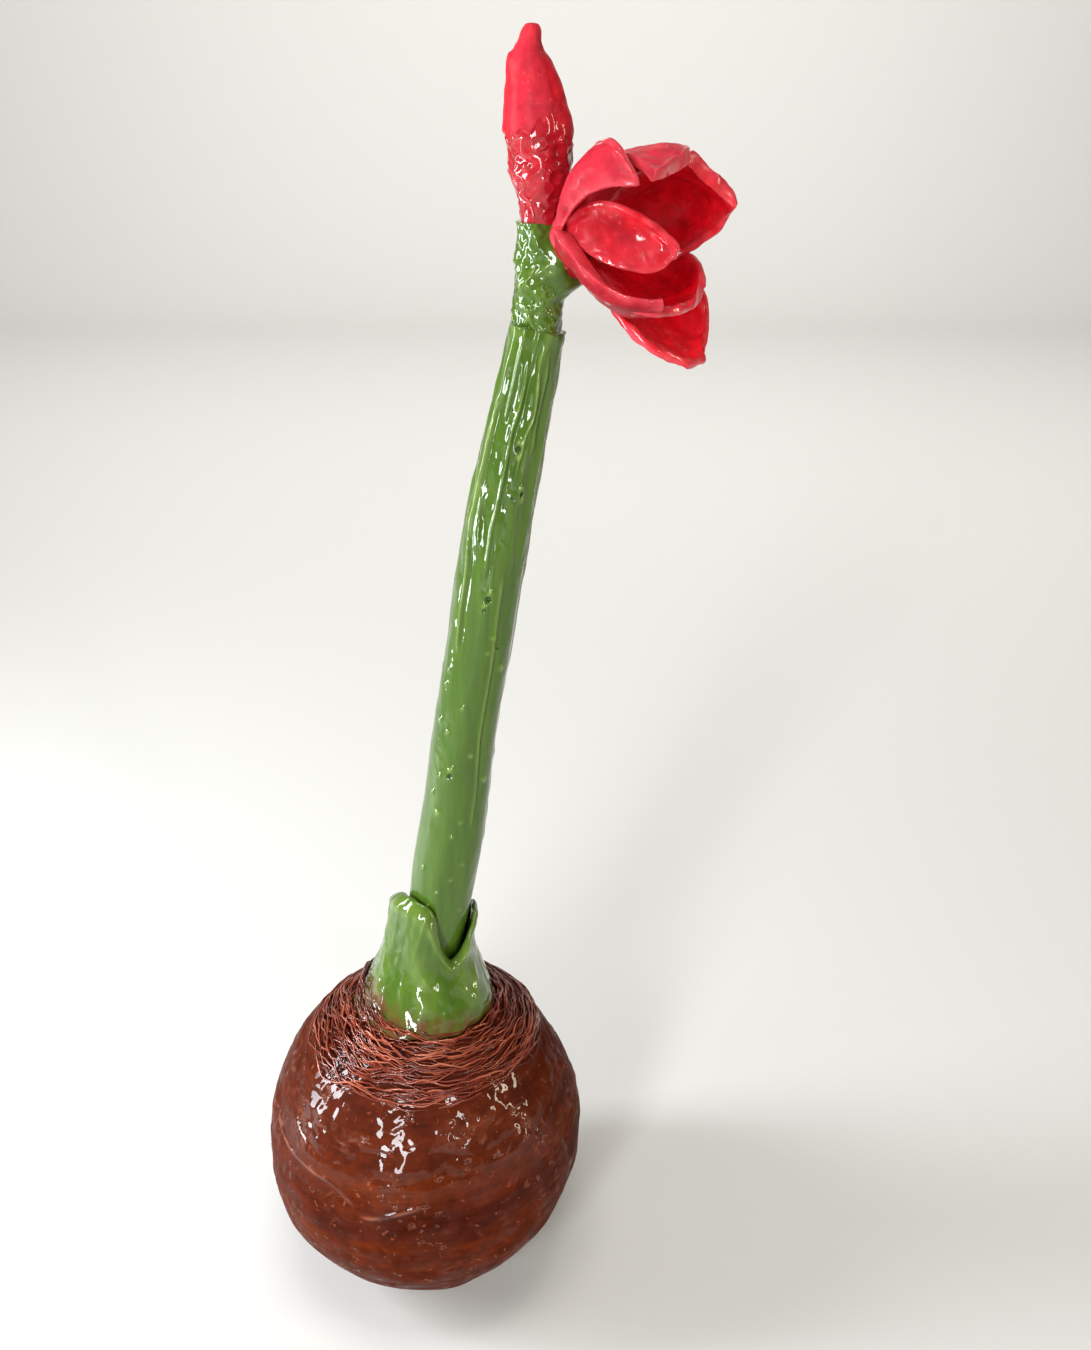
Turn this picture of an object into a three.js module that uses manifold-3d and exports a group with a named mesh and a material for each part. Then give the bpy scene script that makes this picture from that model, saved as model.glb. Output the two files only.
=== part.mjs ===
// Hand-modelled, glazed amaryllis bulb figure: bulb, leaf collar, stem, head, closed bud and open flower.
// Millimetres, +Z up. The origin is the centre of the flat underside, +X the side the stem leans to,
// -Y the side that is looked at. Turns round an upright axis are counted from -Y towards +X.
import * as THREE from "three";
import Module from "manifold-3d";
import { ParametricGeometry } from "three/addons/geometries/ParametricGeometry.js";
import { mergeVertices } from "three/addons/utils/BufferGeometryUtils.js";

const wasm = await Module();
wasm.setup();

const GAP = 0.3;

// Bulb: height above the table against radius, and the lean of its upright axis.
const BULB_PROFILE = [
  [0, 20.0], [3, 24.2], [6, 27.8], [10, 32.2], [16, 38.1], [30, 47.1], [46, 49.3], [62, 47.7],
  [75, 42.3], [86, 35.2], [92, 29.3], [97, 22.6],
];
const BULB_TOP = 97;
const BULB_LEAN = 0.03;
const BULB_COLUMNS = 64;
const BULB_ROWS = 34;
const WELL_RADIUS = 20.0;
const WELL_FLOOR = 89.0;
const FIBRE_FOOT = 84;
const FIBRE_HEIGHT = 0.7;
const FIBRE_STRANDS = 4;

// Stem: height against the sideways place of its axis and against its radius.
const STEM_AXIS = [
  [89.3, 1.6], [105, 4.0], [118, 6.2], [130, 8.2], [141, 10.0], [154, 12.2], [167, 14.3], [183, 16.4],
  [198, 18.7], [213, 21.5], [228, 23.8], [242, 26.4], [256, 28.8], [269, 31.5], [282, 34.3], [293, 36.6],
  [300.5, 38.1],
];
const STEM_RADIUS = [
  [89.3, 8.8], [118, 8.9], [130, 9.0], [141, 9.3], [150, 9.5], [167, 9.1], [198, 8.8], [242, 8.8],
  [256, 8.2], [269, 7.8], [282, 7.2], [300.5, 6.9],
];
const STEM_FOOT = 89.3;
const STEM_TOP = 300.5;
const TOP_TILT = 0.2;
const STEM_COLUMNS = 32;
const STEM_ROWS = 40;
const STEM_RIDGES = 9;
const STEM_RIDGE_HEIGHT = 0.35;

// Collar of two leaf stumps round the foot of the stem.
const COLLAR_FOOT = 89.3;
const COLLAR_LIP = 97.4;
const COLLAR_AXIS = [
  [89.3, 2.75], [97, 2.95], [104, 4.0], [110, 4.2], [114, 4.4], [118, 4.8], [127, 6.1], [137, 7.4],
];
const COLLAR_RADIUS = [
  [89.3, 19.5], [97, 19.5], [97.4, 20.9], [101, 19.9], [104, 18.8], [110, 16.5], [114, 15.0], [118, 14.1],
  [127, 13.1], [132, 12.5], [137, 11.2], [140, 10.6],
];
const COLLAR_RIM = [
  [-190, 117], [-150, 118], [-120, 130], [-90, 135.5], [-50, 138], [-20, 137], [-3, 134.5], [8, 128.5],
  [22, 121.5], [34, 118], [46, 119], [58, 122.5], [78, 128], [100, 131], [130, 127], [170, 117],
];
const COLLAR_SLACK = 0.4;
const COLLAR_OPENING = 1.3;
const COLLAR_OPENING_TURN = 1.2;
const COLLAR_COLUMNS = 48;

// Head piece on top of the stem, with the short branch that carries the open flower.
const HEAD_AXIS = [[301, 37.9], [306, 38.1], [312, 38.8], [318, 39.3], [325.4, 38.5]];
const HEAD_RADIUS = [[301, 6.0], [306, 6.1], [312, 6.5], [318, 6.3], [325.4, 5.4]];
const HEAD_FOOT = 300.95;
const HEAD_TOP = 325.4;
const BRANCH_RADIUS = 5.6;

// Closed bud: height against the place of its axis and against its radius.
const BUD_AXIS = [
  [325.7, 39.3], [336, 38.8], [347, 38.3], [352, 37.7], [357, 37.2], [362, 36.4], [368.5, 36.9],
];
const BUD_RADIUS = [
  [325.7, 5.1], [330.6, 6.2], [336, 7.8], [341, 8.2], [346.6, 8.5], [352, 7.4], [357, 6.4], [362, 4.9],
  [366, 3.2], [368.5, 1.6],
];
const BUD_FOOT = 325.7;
const BUD_TOP = 368.5;
const BUD_COLUMNS = 36;
const BUD_ROWS = 22;
const BUD_SEAMS = [14, 150, 265];
const BUD_SEAM_STEP = 0.8;

// Open flower: its seat, the way it faces, and the petals. Each petal is a sheet through three curves,
// its near edge, its middle line and its far edge, each through four places from the seat to the tip.
const FLOWER_SEAT = [45.5, -2.0, 316.5];
const FLOWER_FACING = [0.8, -0.6, 0.0];
const SEAT_RADIUS = 3.6;
const SEAT_BACK = 1.8;
const SEAT_HEIGHT = 5.5;
const PETAL_THICKNESS = 2.4;
const PETAL_COLUMNS = 22;
const PETAL_ROWS = 11;
const PETALS = {
  petal_inner_near: {
    tip: 0.6, round: 0.2,
    near: [[-0.5, -10.0, 11.0], [6.5, -14.0, 15.5], [15.5, -15.5, 13.0], [24.5, -16.5, 6.0]],
    middle: [[0.0, -10.0, 9.0], [6.5, -12.5, 9.5], [16.0, -13.5, 7.0], [25.5, -16.0, 5.0]],
    far: [[0.5, -9.5, 7.5], [5.0, -14.5, 4.5], [15.5, -16.0, 1.0], [24.0, -15.5, 3.5]],
  },
  petal_outer_near: {
    tip: 0.92, round: 0.08,
    near: [[-2.5, -10.0, 10.5], [2.0, -17.0, 4.5], [10.0, -20.5, -3.0], [21.0, -22.0, -4.5]],
    middle: [[-3.0, -5.5, 5.5], [2.5, -11.0, -0.5], [10.5, -16.0, -7.0], [21.5, -21.5, -6.0]],
    far: [[0.5, -4.0, -3.5], [7.0, 1.0, -6.0], [15.5, -0.5, -11.5], [21.5, -18.0, -7.5]],
  },
  petal_hood: {
    tip: 0.9, round: 0.1,
    near: [[-1.5, -4.5, 3.0], [0.5, -15.0, 13.0], [6.0, -23.0, 18.5], [15.0, -27.0, 19.5]],
    middle: [[-2.0, -3.0, 4.5], [-0.5, -12.5, 15.5], [3.5, -19.5, 23.5], [13.0, -27.0, 25.0]],
    far: [[0.0, 0.0, 5.0], [6.0, 2.0, 12.5], [6.5, -7.0, 24.0], [8.5, -23.0, 29.0]],
  },
  petal_inner_low: {
    tip: 0.6, round: 0.25,
    near: [[1.5, -2.5, -0.5], [4.5, -9.0, 0.5], [10.5, -17.5, -5.0], [16.5, -23.5, -7.5]],
    middle: [[2.0, -1.0, -3.0], [14.0, 6.5, -3.5], [23.0, 4.0, -8.0], [26.0, -14.0, -9.0]],
    far: [[3.5, 1.5, -1.5], [20.5, 14.5, 0.5], [31.5, 11.0, 0.0], [32.0, -5.5, -8.0]],
  },
  petal_far: {
    tip: 0.99, round: 0.05,
    near: [[2.0, 1.0, 3.0], [12.5, 5.5, 17.5], [22.0, 2.0, 22.5], [28.0, -5.5, 24.5]],
    middle: [[4.0, 2.0, 1.5], [20.0, 16.0, 10.5], [31.0, 13.5, 14.5], [34.0, -2.0, 19.5]],
    far: [[4.0, 2.0, -2.0], [20.5, 10.5, -2.5], [33.0, 9.0, 3.0], [40.5, 2.0, 13.0]],
  },
  petal_top: {
    tip: 0.98, round: 0.05,
    near: [[0.0, -1.5, 4.0], [4.5, -7.0, 17.0], [11.0, -17.0, 24.5], [18.0, -27.0, 21.0]],
    middle: [[1.0, 0.0, 4.0], [14.5, 6.5, 20.5], [19.5, -6.0, 26.0], [22.5, -22.0, 23.5]],
    far: [[2.5, 1.5, 3.0], [21.0, 16.5, 18.5], [27.5, 3.5, 25.0], [27.0, -14.0, 25.5]],
  },
  petal_outer_low: {
    tip: 0.93, round: 0.06,
    near: [[0.5, -3.0, -2.0], [9.5, -1.5, -7.5], [16.5, -8.0, -16.0], [29.0, -6.0, -23.0]],
    middle: [[2.0, 0.5, -3.5], [14.5, 13.0, -10.5], [25.5, 10.5, -17.5], [32.5, 0.0, -25.0]],
    far: [[3.5, 3.5, -1.5], [22.5, 20.0, -2.5], [35.0, 20.0, -9.0], [33.0, 3.5, -24.5]],
  },
};

// Smooth value through [place, value] pairs: a cubic between two pairs, its slopes taken from the neighbours.
function through(pairs, place) {
  const last = pairs.length - 1;
  const here = Math.min(Math.max(place, pairs[0][0]), pairs[last][0]);
  let k = 0;
  while (k < last - 1 && here > pairs[k + 1][0]) k += 1;
  const slope = (i) => {
    const before = pairs[Math.max(i - 1, 0)];
    const after = pairs[Math.min(i + 1, last)];
    return (after[1] - before[1]) / (after[0] - before[0]);
  };
  const span = pairs[k + 1][0] - pairs[k][0];
  const t = (here - pairs[k][0]) / span;
  const rise = t * t * (3 - 2 * t);
  return pairs[k][1] * (1 - rise) + pairs[k + 1][1] * rise
    + span * slope(k) * t * (1 - t) * (1 - t) - span * slope(k + 1) * t * t * (1 - t);
}

function mix(a, b, share) {
  return a + (b - a) * share;
}

// Closed solid from a surface of two parameters; places that coincide are welded, faces turned outwards.
function solid(pointAt, columns, rows) {
  const raw = new ParametricGeometry((u, v, target) => target.copy(pointAt(u, v)), columns, rows);
  raw.deleteAttribute("normal");
  raw.deleteAttribute("uv");
  const welded = mergeVertices(raw, 1e-4);
  const corners = Array.from(welded.index.array);
  const kept = [];
  for (let i = 0; i < corners.length; i += 3) {
    const [a, b, c] = corners.slice(i, i + 3);
    if (a !== b && b !== c && c !== a) kept.push(a, b, c);
  }
  const vertProperties = new Float32Array(welded.attributes.position.array);
  const bodyOf = (corners3) => new wasm.Manifold(
    new wasm.Mesh({ numProp: 3, vertProperties, triVerts: new Uint32Array(corners3) }),
  );
  const body = bodyOf(kept);
  return body.volume() > 0 ? body : bodyOf(kept.reverse());
}

// Upright body: rings round a bent axis, with a cap at the foot and a cap at the top. The rings tilt
// towards +X from one angle at the foot to another at the top.
function column({ foot, top, axis, tilts, reachAt, columns, rows }, grow = 0) {
  const pointAt = (u, v) => {
    const row = Math.round(v * rows);
    const share = Math.min(Math.max((row - 1) / (rows - 2), 0), 1);
    const turn = u * 2 * Math.PI;
    const low = foot - grow;
    const high = top + grow;
    const z = mix(low, high, share);
    const reach = row === 0 || row === rows ? 0 : reachAt(turn, z) + grow;
    const tilt = mix(tilts[0], tilts[1], share);
    const side = reach * Math.sin(turn);
    return new THREE.Vector3(
      through(axis, z) + side * Math.cos(tilt),
      -reach * Math.cos(turn),
      z - side * Math.sin(tilt),
    );
  };
  return solid(pointAt, columns, rows);
}

function bulbReach(turn, z) {
  const swell = 0.5 * Math.sin(3 * turn + z / 19) * Math.sin(z / 21);
  const inRing = Math.min(Math.max((z - FIBRE_FOOT) / 3, 0), 1) * Math.min((BULB_TOP - z) / 2, 1);
  const wander = 0.06 * Math.sin(5 * turn) + 0.04 * Math.sin(11 * turn + 1);
  const up = (z - FIBRE_FOOT) / (BULB_TOP - FIBRE_FOOT);
  const strands = Math.abs(Math.sin(Math.PI * FIBRE_STRANDS * (up + wander)));
  return through(BULB_PROFILE, z) + swell + FIBRE_HEIGHT * inRing * strands;
}

// Bulb body with the round well in its neck, where stem and collar stand.
function bulb() {
  const neckRows = 13;
  const bodyRows = BULB_ROWS - neckRows - 4;
  const pointAt = (u, v) => {
    const row = Math.round(v * BULB_ROWS);
    const turn = u * 2 * Math.PI;
    let z = 0;
    let reach = 0;
    if (row >= 1 && row <= BULB_ROWS - 3) {
      const step = row - 1;
      z = step <= bodyRows
        ? FIBRE_FOOT * (1 - Math.cos(Math.PI * 0.5 * Math.min(1, (step / bodyRows)) ** 1.1)) ** 0.9
        : mix(FIBRE_FOOT, BULB_TOP, (step - bodyRows) / neckRows);
      reach = bulbReach(turn, z);
    }
    if (row === BULB_ROWS - 2) {
      z = BULB_TOP - 0.6;
      reach = WELL_RADIUS;
    }
    if (row >= BULB_ROWS - 1) {
      z = WELL_FLOOR;
      reach = row === BULB_ROWS ? 0 : WELL_RADIUS;
    }
    return new THREE.Vector3(BULB_LEAN * z + reach * Math.sin(turn), -reach * Math.cos(turn), z);
  };
  return solid(pointAt, BULB_COLUMNS, BULB_ROWS);
}

function stemReach(turn, z) {
  const height = (z - STEM_FOOT) / (STEM_TOP - STEM_FOOT);
  const ridge = STEM_RIDGE_HEIGHT * Math.cos(STEM_RIDGES * turn + 2.5 * height) * mix(0.2, 1, height);
  const knobs = 0.2 * Math.sin(z / 5 + 2 * turn) * Math.sin(z / 13 + turn);
  return through(STEM_RADIUS, z) + (ridge + knobs) * Math.min(Math.max((z - 120) / 20, 0), 1);
}

const STEM = {
  foot: STEM_FOOT, top: STEM_TOP, axis: STEM_AXIS, tilts: [0, TOP_TILT],
  reachAt: stemReach, columns: STEM_COLUMNS, rows: STEM_ROWS,
};

// Collar wall as [share of the height above its lip, share of the way in]: up the outside, over the rounded
// rim and down the inside, close to the stem. Below the lip it stands in the well of the bulb.
const COLLAR_WALL = [
  [0, 0], [0.12, 0], [0.26, 0], [0.42, 0], [0.58, 0], [0.72, 0], [0.84, 0], [0.93, 0.03],
  [0.98, 0.16], [1, 0.5], [0.98, 0.84], [0.88, 1], [0.6, 1], [0.3, 1], [0, 1],
];

function collar() {
  const rows = COLLAR_WALL.length + 3;
  const pointAt = (u, v) => {
    const turn = mix(-190, 170, u);
    const angle = THREE.MathUtils.degToRad(turn);
    const row = Math.round(v * rows) % rows;
    const inWell = row < 2 || row === rows - 1;
    const [height, inward] = inWell ? [0, row < 2 ? 0 : 1] : COLLAR_WALL[row - 2];
    const rim = through(COLLAR_RIM, turn);
    const z = inWell ? (row === 1 ? BULB_TOP - 0.1 : COLLAR_FOOT) : mix(COLLAR_LIP, rim, height);
    const folds = 0.5 * Math.sin(6 * angle + z / 14) * Math.sin(Math.PI * Math.min(height, 1));
    const outer = through(COLLAR_RADIUS, z) + folds * Math.min(Math.max((z - BULB_TOP) / 8, 0), 1);
    const open = COLLAR_OPENING * Math.exp(3 * (Math.cos(angle - COLLAR_OPENING_TURN) - 1)) * height * height;
    const inner = through(STEM_RADIUS, z) + COLLAR_SLACK + open;
    const outerX = through(COLLAR_AXIS, z) + outer * Math.sin(angle);
    const innerX = through(STEM_AXIS, z) + inner * Math.sin(angle);
    const x = mix(outerX, innerX, inward);
    return new THREE.Vector3(x, -mix(outer, inner, inward) * Math.cos(angle), z);
  };
  return solid(pointAt, COLLAR_COLUMNS, rows);
}

// Head: an uneven knob on the stem and a short branch out to the flower's seat.
function head(grow = 0) {
  const knob = column({
    foot: HEAD_FOOT, top: HEAD_TOP, axis: HEAD_AXIS, tilts: [TOP_TILT, 0],
    reachAt: (turn, z) => through(HEAD_RADIUS, z) + 0.3 * Math.sin(4 * turn + z / 2.4),
    columns: 28, rows: 12,
  }, grow);
  const seat = new THREE.Vector3(...FLOWER_SEAT);
  const facing = new THREE.Vector3(...FLOWER_FACING);
  const end = seat.clone().addScaledVector(facing, SEAT_BACK - GAP + grow);
  const path = new THREE.QuadraticBezierCurve3(
    new THREE.Vector3(38.4, 1.2, 308.5),
    end.clone().addScaledVector(facing, -3.5),
    end,
  );
  const rows = 8;
  const sideways = facing.clone().cross(new THREE.Vector3(0, 0, 1)).normalize();
  const pointAt = (u, v) => {
    const row = Math.round(v * rows);
    const share = Math.min(Math.max((row - 1) / (rows - 2), 0), 1);
    const reach = row === 0 || row === rows ? 0 : mix(4.8, BRANCH_RADIUS, share) + grow;
    const along = path.getTangent(share);
    const up = sideways.clone().cross(along).normalize();
    const turn = u * 2 * Math.PI;
    return path.getPoint(share)
      .addScaledVector(sideways, reach * Math.cos(turn))
      .addScaledVector(up, reach * Math.sin(turn));
  };
  return knob.add(solid(pointAt, 24, rows));
}

function budReach(turn, z) {
  const height = (z - BUD_FOOT) / (BUD_TOP - BUD_FOOT);
  const degrees = THREE.MathUtils.radToDeg(turn);
  let step = 0;
  for (const seam of BUD_SEAMS) {
    const past = (((degrees - seam - 25 * height) % 360) + 360) % 360;
    step -= BUD_SEAM_STEP * Math.exp(-past / 25) * Math.min(1, past / 4);
  }
  return through(BUD_RADIUS, z) + step * Math.sin(Math.PI * Math.min(1, height * 1.1));
}

const BUD = {
  foot: BUD_FOOT, top: BUD_TOP, axis: BUD_AXIS, tilts: [0, 0],
  reachAt: budReach, columns: BUD_COLUMNS, rows: BUD_ROWS,
};

// Flower's seat: a low dome at the end of the branch, from which the petals spring.
function flowerSeat(grow = 0) {
  const facing = new THREE.Vector3(...FLOWER_FACING);
  const sideways = facing.clone().cross(new THREE.Vector3(0, 0, 1)).normalize();
  const up = new THREE.Vector3(0, 0, 1);
  const rows = 9;
  const pointAt = (u, v) => {
    const row = Math.round(v * rows);
    const lift = Math.max(row - 1, 0) / (rows - 1) * Math.PI * 0.5;
    const reach = row === 0 || row === rows ? 0 : (SEAT_RADIUS + grow) * Math.cos(lift);
    const along = SEAT_BACK - grow + (SEAT_HEIGHT + 2 * grow) * Math.sin(lift);
    const turn = u * 2 * Math.PI;
    return new THREE.Vector3(...FLOWER_SEAT)
      .addScaledVector(facing, along)
      .addScaledVector(sideways, reach * Math.cos(turn))
      .addScaledVector(up, reach * Math.sin(turn));
  };
  return solid(pointAt, 24, rows);
}

// Cubic through four places, reached at 0, 1/3, 2/3 and 1 of the way.
function curveAt(places, s) {
  const weights = [
    -4.5 * (s - 1 / 3) * (s - 2 / 3) * (s - 1),
    13.5 * s * (s - 2 / 3) * (s - 1),
    -13.5 * s * (s - 1 / 3) * (s - 1),
    4.5 * s * (s - 1 / 3) * (s - 2 / 3),
  ];
  const point = new THREE.Vector3();
  places.forEach((place, k) => point.addScaledVector(new THREE.Vector3(...place), weights[k]));
  return point;
}

function sheetAt(petal, s, t) {
  const nearTip = Math.min(Math.max((s - 1 + petal.round) / petal.round, 0), 1);
  const width = 1 - (1 - petal.tip) * (1 - Math.sqrt(1 - nearTip * nearTip));
  const across = t * width;
  const near = curveAt(petal.near, s);
  const far = curveAt(petal.far, s);
  return curveAt(petal.middle, s)
    .addScaledVector(far.clone().sub(near), across / 2)
    .addScaledVector(far.clone().add(near), (across * across) / 2)
    .addScaledVector(curveAt(petal.middle, s), -across * across);
}

// Petal: the sheet with half its thickness on each side, thinned to a round rim all along its edge.
function petalSolid(petal, grow = 0) {
  const step = 1e-3;
  const pointAt = (u, v) => {
    const s = 0.5 - 0.5 * Math.cos(Math.PI * v);
    const t = -Math.cos(2 * Math.PI * u);
    const face = u < 0.5 ? 1 : -1;
    const reachS = mix(s - grow / 30, s + grow / 30, s);
    const reachT = t * (1 + grow / 10);
    const along = sheetAt(petal, reachS + step, reachT).sub(sheetAt(petal, reachS - step, reachT));
    const across = sheetAt(petal, reachS, reachT + step).sub(sheetAt(petal, reachS, reachT - step));
    const normal = along.cross(across).normalize();
    const sides = Math.max(0, 1 - Math.abs(t) ** 5) ** 0.2;
    const ends = Math.max(0, 1 - Math.abs(2 * s - 1) ** 12) ** (1 / 12);
    const rim = sides * ends;
    return sheetAt(petal, reachS, reachT).addScaledVector(normal, face * (PETAL_THICKNESS / 2 + grow) * rim);
  };
  const body = solid(pointAt, PETAL_COLUMNS, PETAL_ROWS);
  return body.translate(FLOWER_SEAT);
}

// Largest of the pieces that a cut leaves, with the slivers along the cut taken out.
function largest(body) {
  const biggest = (whole) => whole.decompose()
    .reduce((best, piece) => (piece.volume() > best.volume() ? piece : best));
  return biggest(biggest(body).simplify(0.02));
}

function finish(body, name, hex, roughness) {
  const mesh = body.getMesh();
  const geometry = new THREE.BufferGeometry();
  geometry.setAttribute("position", new THREE.BufferAttribute(new Float32Array(mesh.vertProperties), 3));
  geometry.setIndex(new THREE.BufferAttribute(new Uint32Array(mesh.triVerts), 1));
  geometry.computeVertexNormals();
  const node = new THREE.Mesh(geometry, new THREE.MeshStandardMaterial({ color: hex, roughness }));
  node.name = name;
  return node;
}

const object = new THREE.Group();
object.name = "glazed_amaryllis_bulb";
const add = (body, name, hex, roughness = 0.2) => object.add(finish(body, name, hex, roughness));

add(bulb(), "bulb", 0x6b2c1c);
add(column(STEM), "stem", 0x4f7a2a);
add(collar(), "leaf_collar", 0x5c8a34);
add(head(), "head", 0x4a7030);
add(column(BUD), "bud", 0xc4202c);
add(flowerSeat(), "flower_seat", 0x8e1420);

// Petals from the inside out: each gives way to those before it, to the bud, the head and the seat.
let taken = head(GAP).add(flowerSeat(GAP)).add(column(BUD, GAP));
for (const [name, petal] of Object.entries(PETALS)) {
  add(largest(petalSolid(petal).subtract(taken)), name, 0xbf1a26);
  taken = taken.add(petalSolid(petal, GAP));
}

export default object;
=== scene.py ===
"""Hand-modelled, glazed amaryllis: bulb with a fibrous neck, leaf collar, stem, head, bud and open flower.

The shape functions work in millimetres in the part's frame: +Z up, -Y the side that is looked at, +X the side
the stem leans to. Turns round an upright axis are counted from -Y towards +X. Meshes are stored in metres.
"""

import math
from functools import partial

import bpy
import numpy as np
from bpy.props import FloatProperty, FloatVectorProperty, IntProperty, PointerProperty
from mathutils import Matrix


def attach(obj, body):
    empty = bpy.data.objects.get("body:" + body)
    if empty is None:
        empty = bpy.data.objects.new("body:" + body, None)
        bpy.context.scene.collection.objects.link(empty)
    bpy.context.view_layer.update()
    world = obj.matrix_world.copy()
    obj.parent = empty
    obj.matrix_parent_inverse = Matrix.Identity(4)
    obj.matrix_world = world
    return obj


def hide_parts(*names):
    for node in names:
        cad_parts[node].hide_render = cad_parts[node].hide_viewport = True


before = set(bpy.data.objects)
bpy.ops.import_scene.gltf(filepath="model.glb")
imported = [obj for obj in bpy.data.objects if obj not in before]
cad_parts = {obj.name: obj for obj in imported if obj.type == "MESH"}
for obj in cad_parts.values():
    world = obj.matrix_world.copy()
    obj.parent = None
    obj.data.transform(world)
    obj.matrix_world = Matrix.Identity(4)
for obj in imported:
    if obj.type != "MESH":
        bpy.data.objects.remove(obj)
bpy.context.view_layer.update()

bl_info = {
    "name": "Glazed amaryllis",
    "version": (1, 0, 0),
    "blender": (4, 5, 0),
    "location": "View3D > Sidebar > Amaryllis",
    "description": "Builds the glazed amaryllis figure piece by piece",
    "category": "Add Mesh",
}

MM = 0.001
FULL_TURN = 2 * math.pi

# Bulb: height above the table against radius, as in the part's source.
BULB_PROFILE = [
    (0, 20.0), (3, 24.2), (6, 27.8), (10, 32.2), (16, 38.1), (30, 47.1), (46, 49.3), (62, 47.7),
    (75, 42.3), (86, 35.2), (92, 29.3), (97, 22.6),
]
BULB_TOP = 97.0
BULB_LEAN = 0.03
BULB_COLUMNS = 390
BULB_ROWS = 235
# Rings of the underside, and of the lip and the well, as radius and height.
UNDERSIDE = [(4.0, 0.0), (9.0, 0.0), (14.0, 0.0), (18.0, 0.0), (19.6, 0.0)]
WELL = [
    (21.4, 96.95), (20.4, 96.8), (20.0, 96.2), (20.0, 92.0), (20.0, 89.3), (19.6, 89.0), (12.0, 89.0),
    (4.0, 89.0),
]
# Heights of the orange and of the dark band of glaze.
ORANGE_BAND = 62.5
DARK_BAND = 51.5
# Ridges where the brown glaze ran and stopped, as turn in degrees against height.
GLAZE_RUNS = [
    [(-72, 66.0), (-58, 64.0), (-45, 62.7), (-38, 62.2), (-32, 62.0), (-28, 61.0), (-23, 58.4), (-19, 56.2)],
    [(-19, 54.6), (-14, 55.2), (-10, 56.4), (-5, 57.6), (2, 59.6), (8, 62.0)],
    [(95, 60.0), (112, 57.5), (130, 61.0), (150, 63.5), (166, 60.5)],
    [(-166, 49.0), (-148, 52.5), (-130, 50.0), (-112, 54.5)],
]
# Blisters in the glaze, as turn in degrees, height, radius.
BLISTERS = [
    (12, 79.0, 1.5), (16, 81.0, 1.2), (19, 78.2, 1.5), (14, 75.8, 1.4), (20, 75.2, 1.3), (24, 78.6, 1.3),
    (27, 80.6, 1.1), (23, 82.2, 1.0), (30, 78.8, 1.2), (9, 76.2, 0.9), (28, 76.0, 1.0), (34, 80.4, 1.0),
    (44, 78.0, 1.2), (48, 75.6, 1.1), (42, 73.4, 1.0), (-43, 76.4, 1.4), (-35, 77.0, 0.9), (-25, 76.5, 0.9),
    (-28, 73.2, 1.0), (-32, 82.4, 0.9), (121, 77.0, 1.3), (128, 79.0, 1.1), (126, 74.0, 1.2),
    (-150, 76.0, 1.3), (-143, 78.5, 1.0), (-146, 72.5, 1.1),
]
# Chips in the glaze of the bulb and the stem: how many, their seed, the heights between which they lie.
BULB_CHIPS = (190, 21, 6, 82)
STEM_CHIPS = (60, 54, 235, 298)

# Strands of the fibrous neck lie on the bulb's slope, counted in mm down from the lip of the well. Above the
# lip, at distances below zero, they climb the collar's foot: distance, radius, height, outward tilt.
NECK_DEPTH = 16.0
NECK_CLIMB = [
    (-11.8, 17.6, 107.0, 0.35), (-8.5, 18.8, 104.0, 0.35), (-5.3, 19.9, 101.0, 0.35),
    (-1.7, 20.9, 97.5, 0.35),
]
STRAND_SIDES = 7
RINGS_PER_RADIAN = 36
STRAND_RADIUS = 0.36
# Seeds of the first strand round the neck and of the first loose one.
NECK_SEED = 100
LOOSE_SEED = 400
# Height where the brown of the neck meets the green of the collar, against turn in degrees.
PAINT_EDGE = [
    (-190, 101), (-120, 104), (-69, 106.5), (-46, 105), (-29, 103), (-15, 101.6), (0, 100.2), (12, 99),
    (30, 98), (60, 97.5), (120, 98.5), (170, 101),
]

# Collar of two leaf stumps, as in the part's source.
COLLAR_FOOT = 89.3
COLLAR_FOOT_RADIUS = 19.5
COLLAR_LIP = 97.4
COLLAR_AXIS = [
    (89.3, 2.75), (97, 2.95), (104, 4.0), (110, 4.2), (114, 4.4), (118, 4.8), (127, 6.1), (137, 7.4),
]
COLLAR_RADIUS = [
    (89.3, 19.5), (97, 19.5), (97.4, 20.9), (101, 19.9), (104, 18.8), (110, 16.5), (114, 15.0), (118, 14.1),
    (127, 13.1), (132, 12.5), (137, 11.2), (140, 10.6),
]
COLLAR_RIM = [
    (-190, 117), (-150, 118), (-120, 130), (-90, 135.5), (-50, 138), (-20, 137), (-3, 134.5), (8, 128.5),
    (22, 121.5), (34, 118), (46, 119), (58, 122.5), (78, 128), (100, 131), (130, 127), (170, 117),
]
COLLAR_SLACK = 0.4
COLLAR_OPENING = 1.3
COLLAR_OPENING_TURN = 1.2
COLLAR_COLUMNS = 360
# Rows up the outside and down the inside, and the share of the height that the rolled rim takes.
COLLAR_OUTSIDE_ROWS = 80
COLLAR_INSIDE_ROWS = 26
COLLAR_ROLL = 0.07

# Stem, as in the part's source.
STEM_AXIS = [
    (89.3, 1.6), (105, 4.0), (118, 6.2), (130, 8.2), (141, 10.0), (154, 12.2), (167, 14.3), (183, 16.4),
    (198, 18.7), (213, 21.5), (228, 23.8), (242, 26.4), (256, 28.8), (269, 31.5), (282, 34.3), (293, 36.6),
    (300.5, 38.1),
]
STEM_RADIUS = [
    (89.3, 8.8), (118, 8.9), (130, 9.0), (141, 9.3), (150, 9.5), (167, 9.1), (198, 8.8), (242, 8.8),
    (256, 8.2), (269, 7.8), (282, 7.2), (300.5, 6.9),
]
STEM_FOOT = 89.3
STEM_TOP = 300.5
TOP_TILT = 0.2
STEM_RIDGES = 9
STEM_COLUMNS = 176
STEM_ROWS = 520
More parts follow.
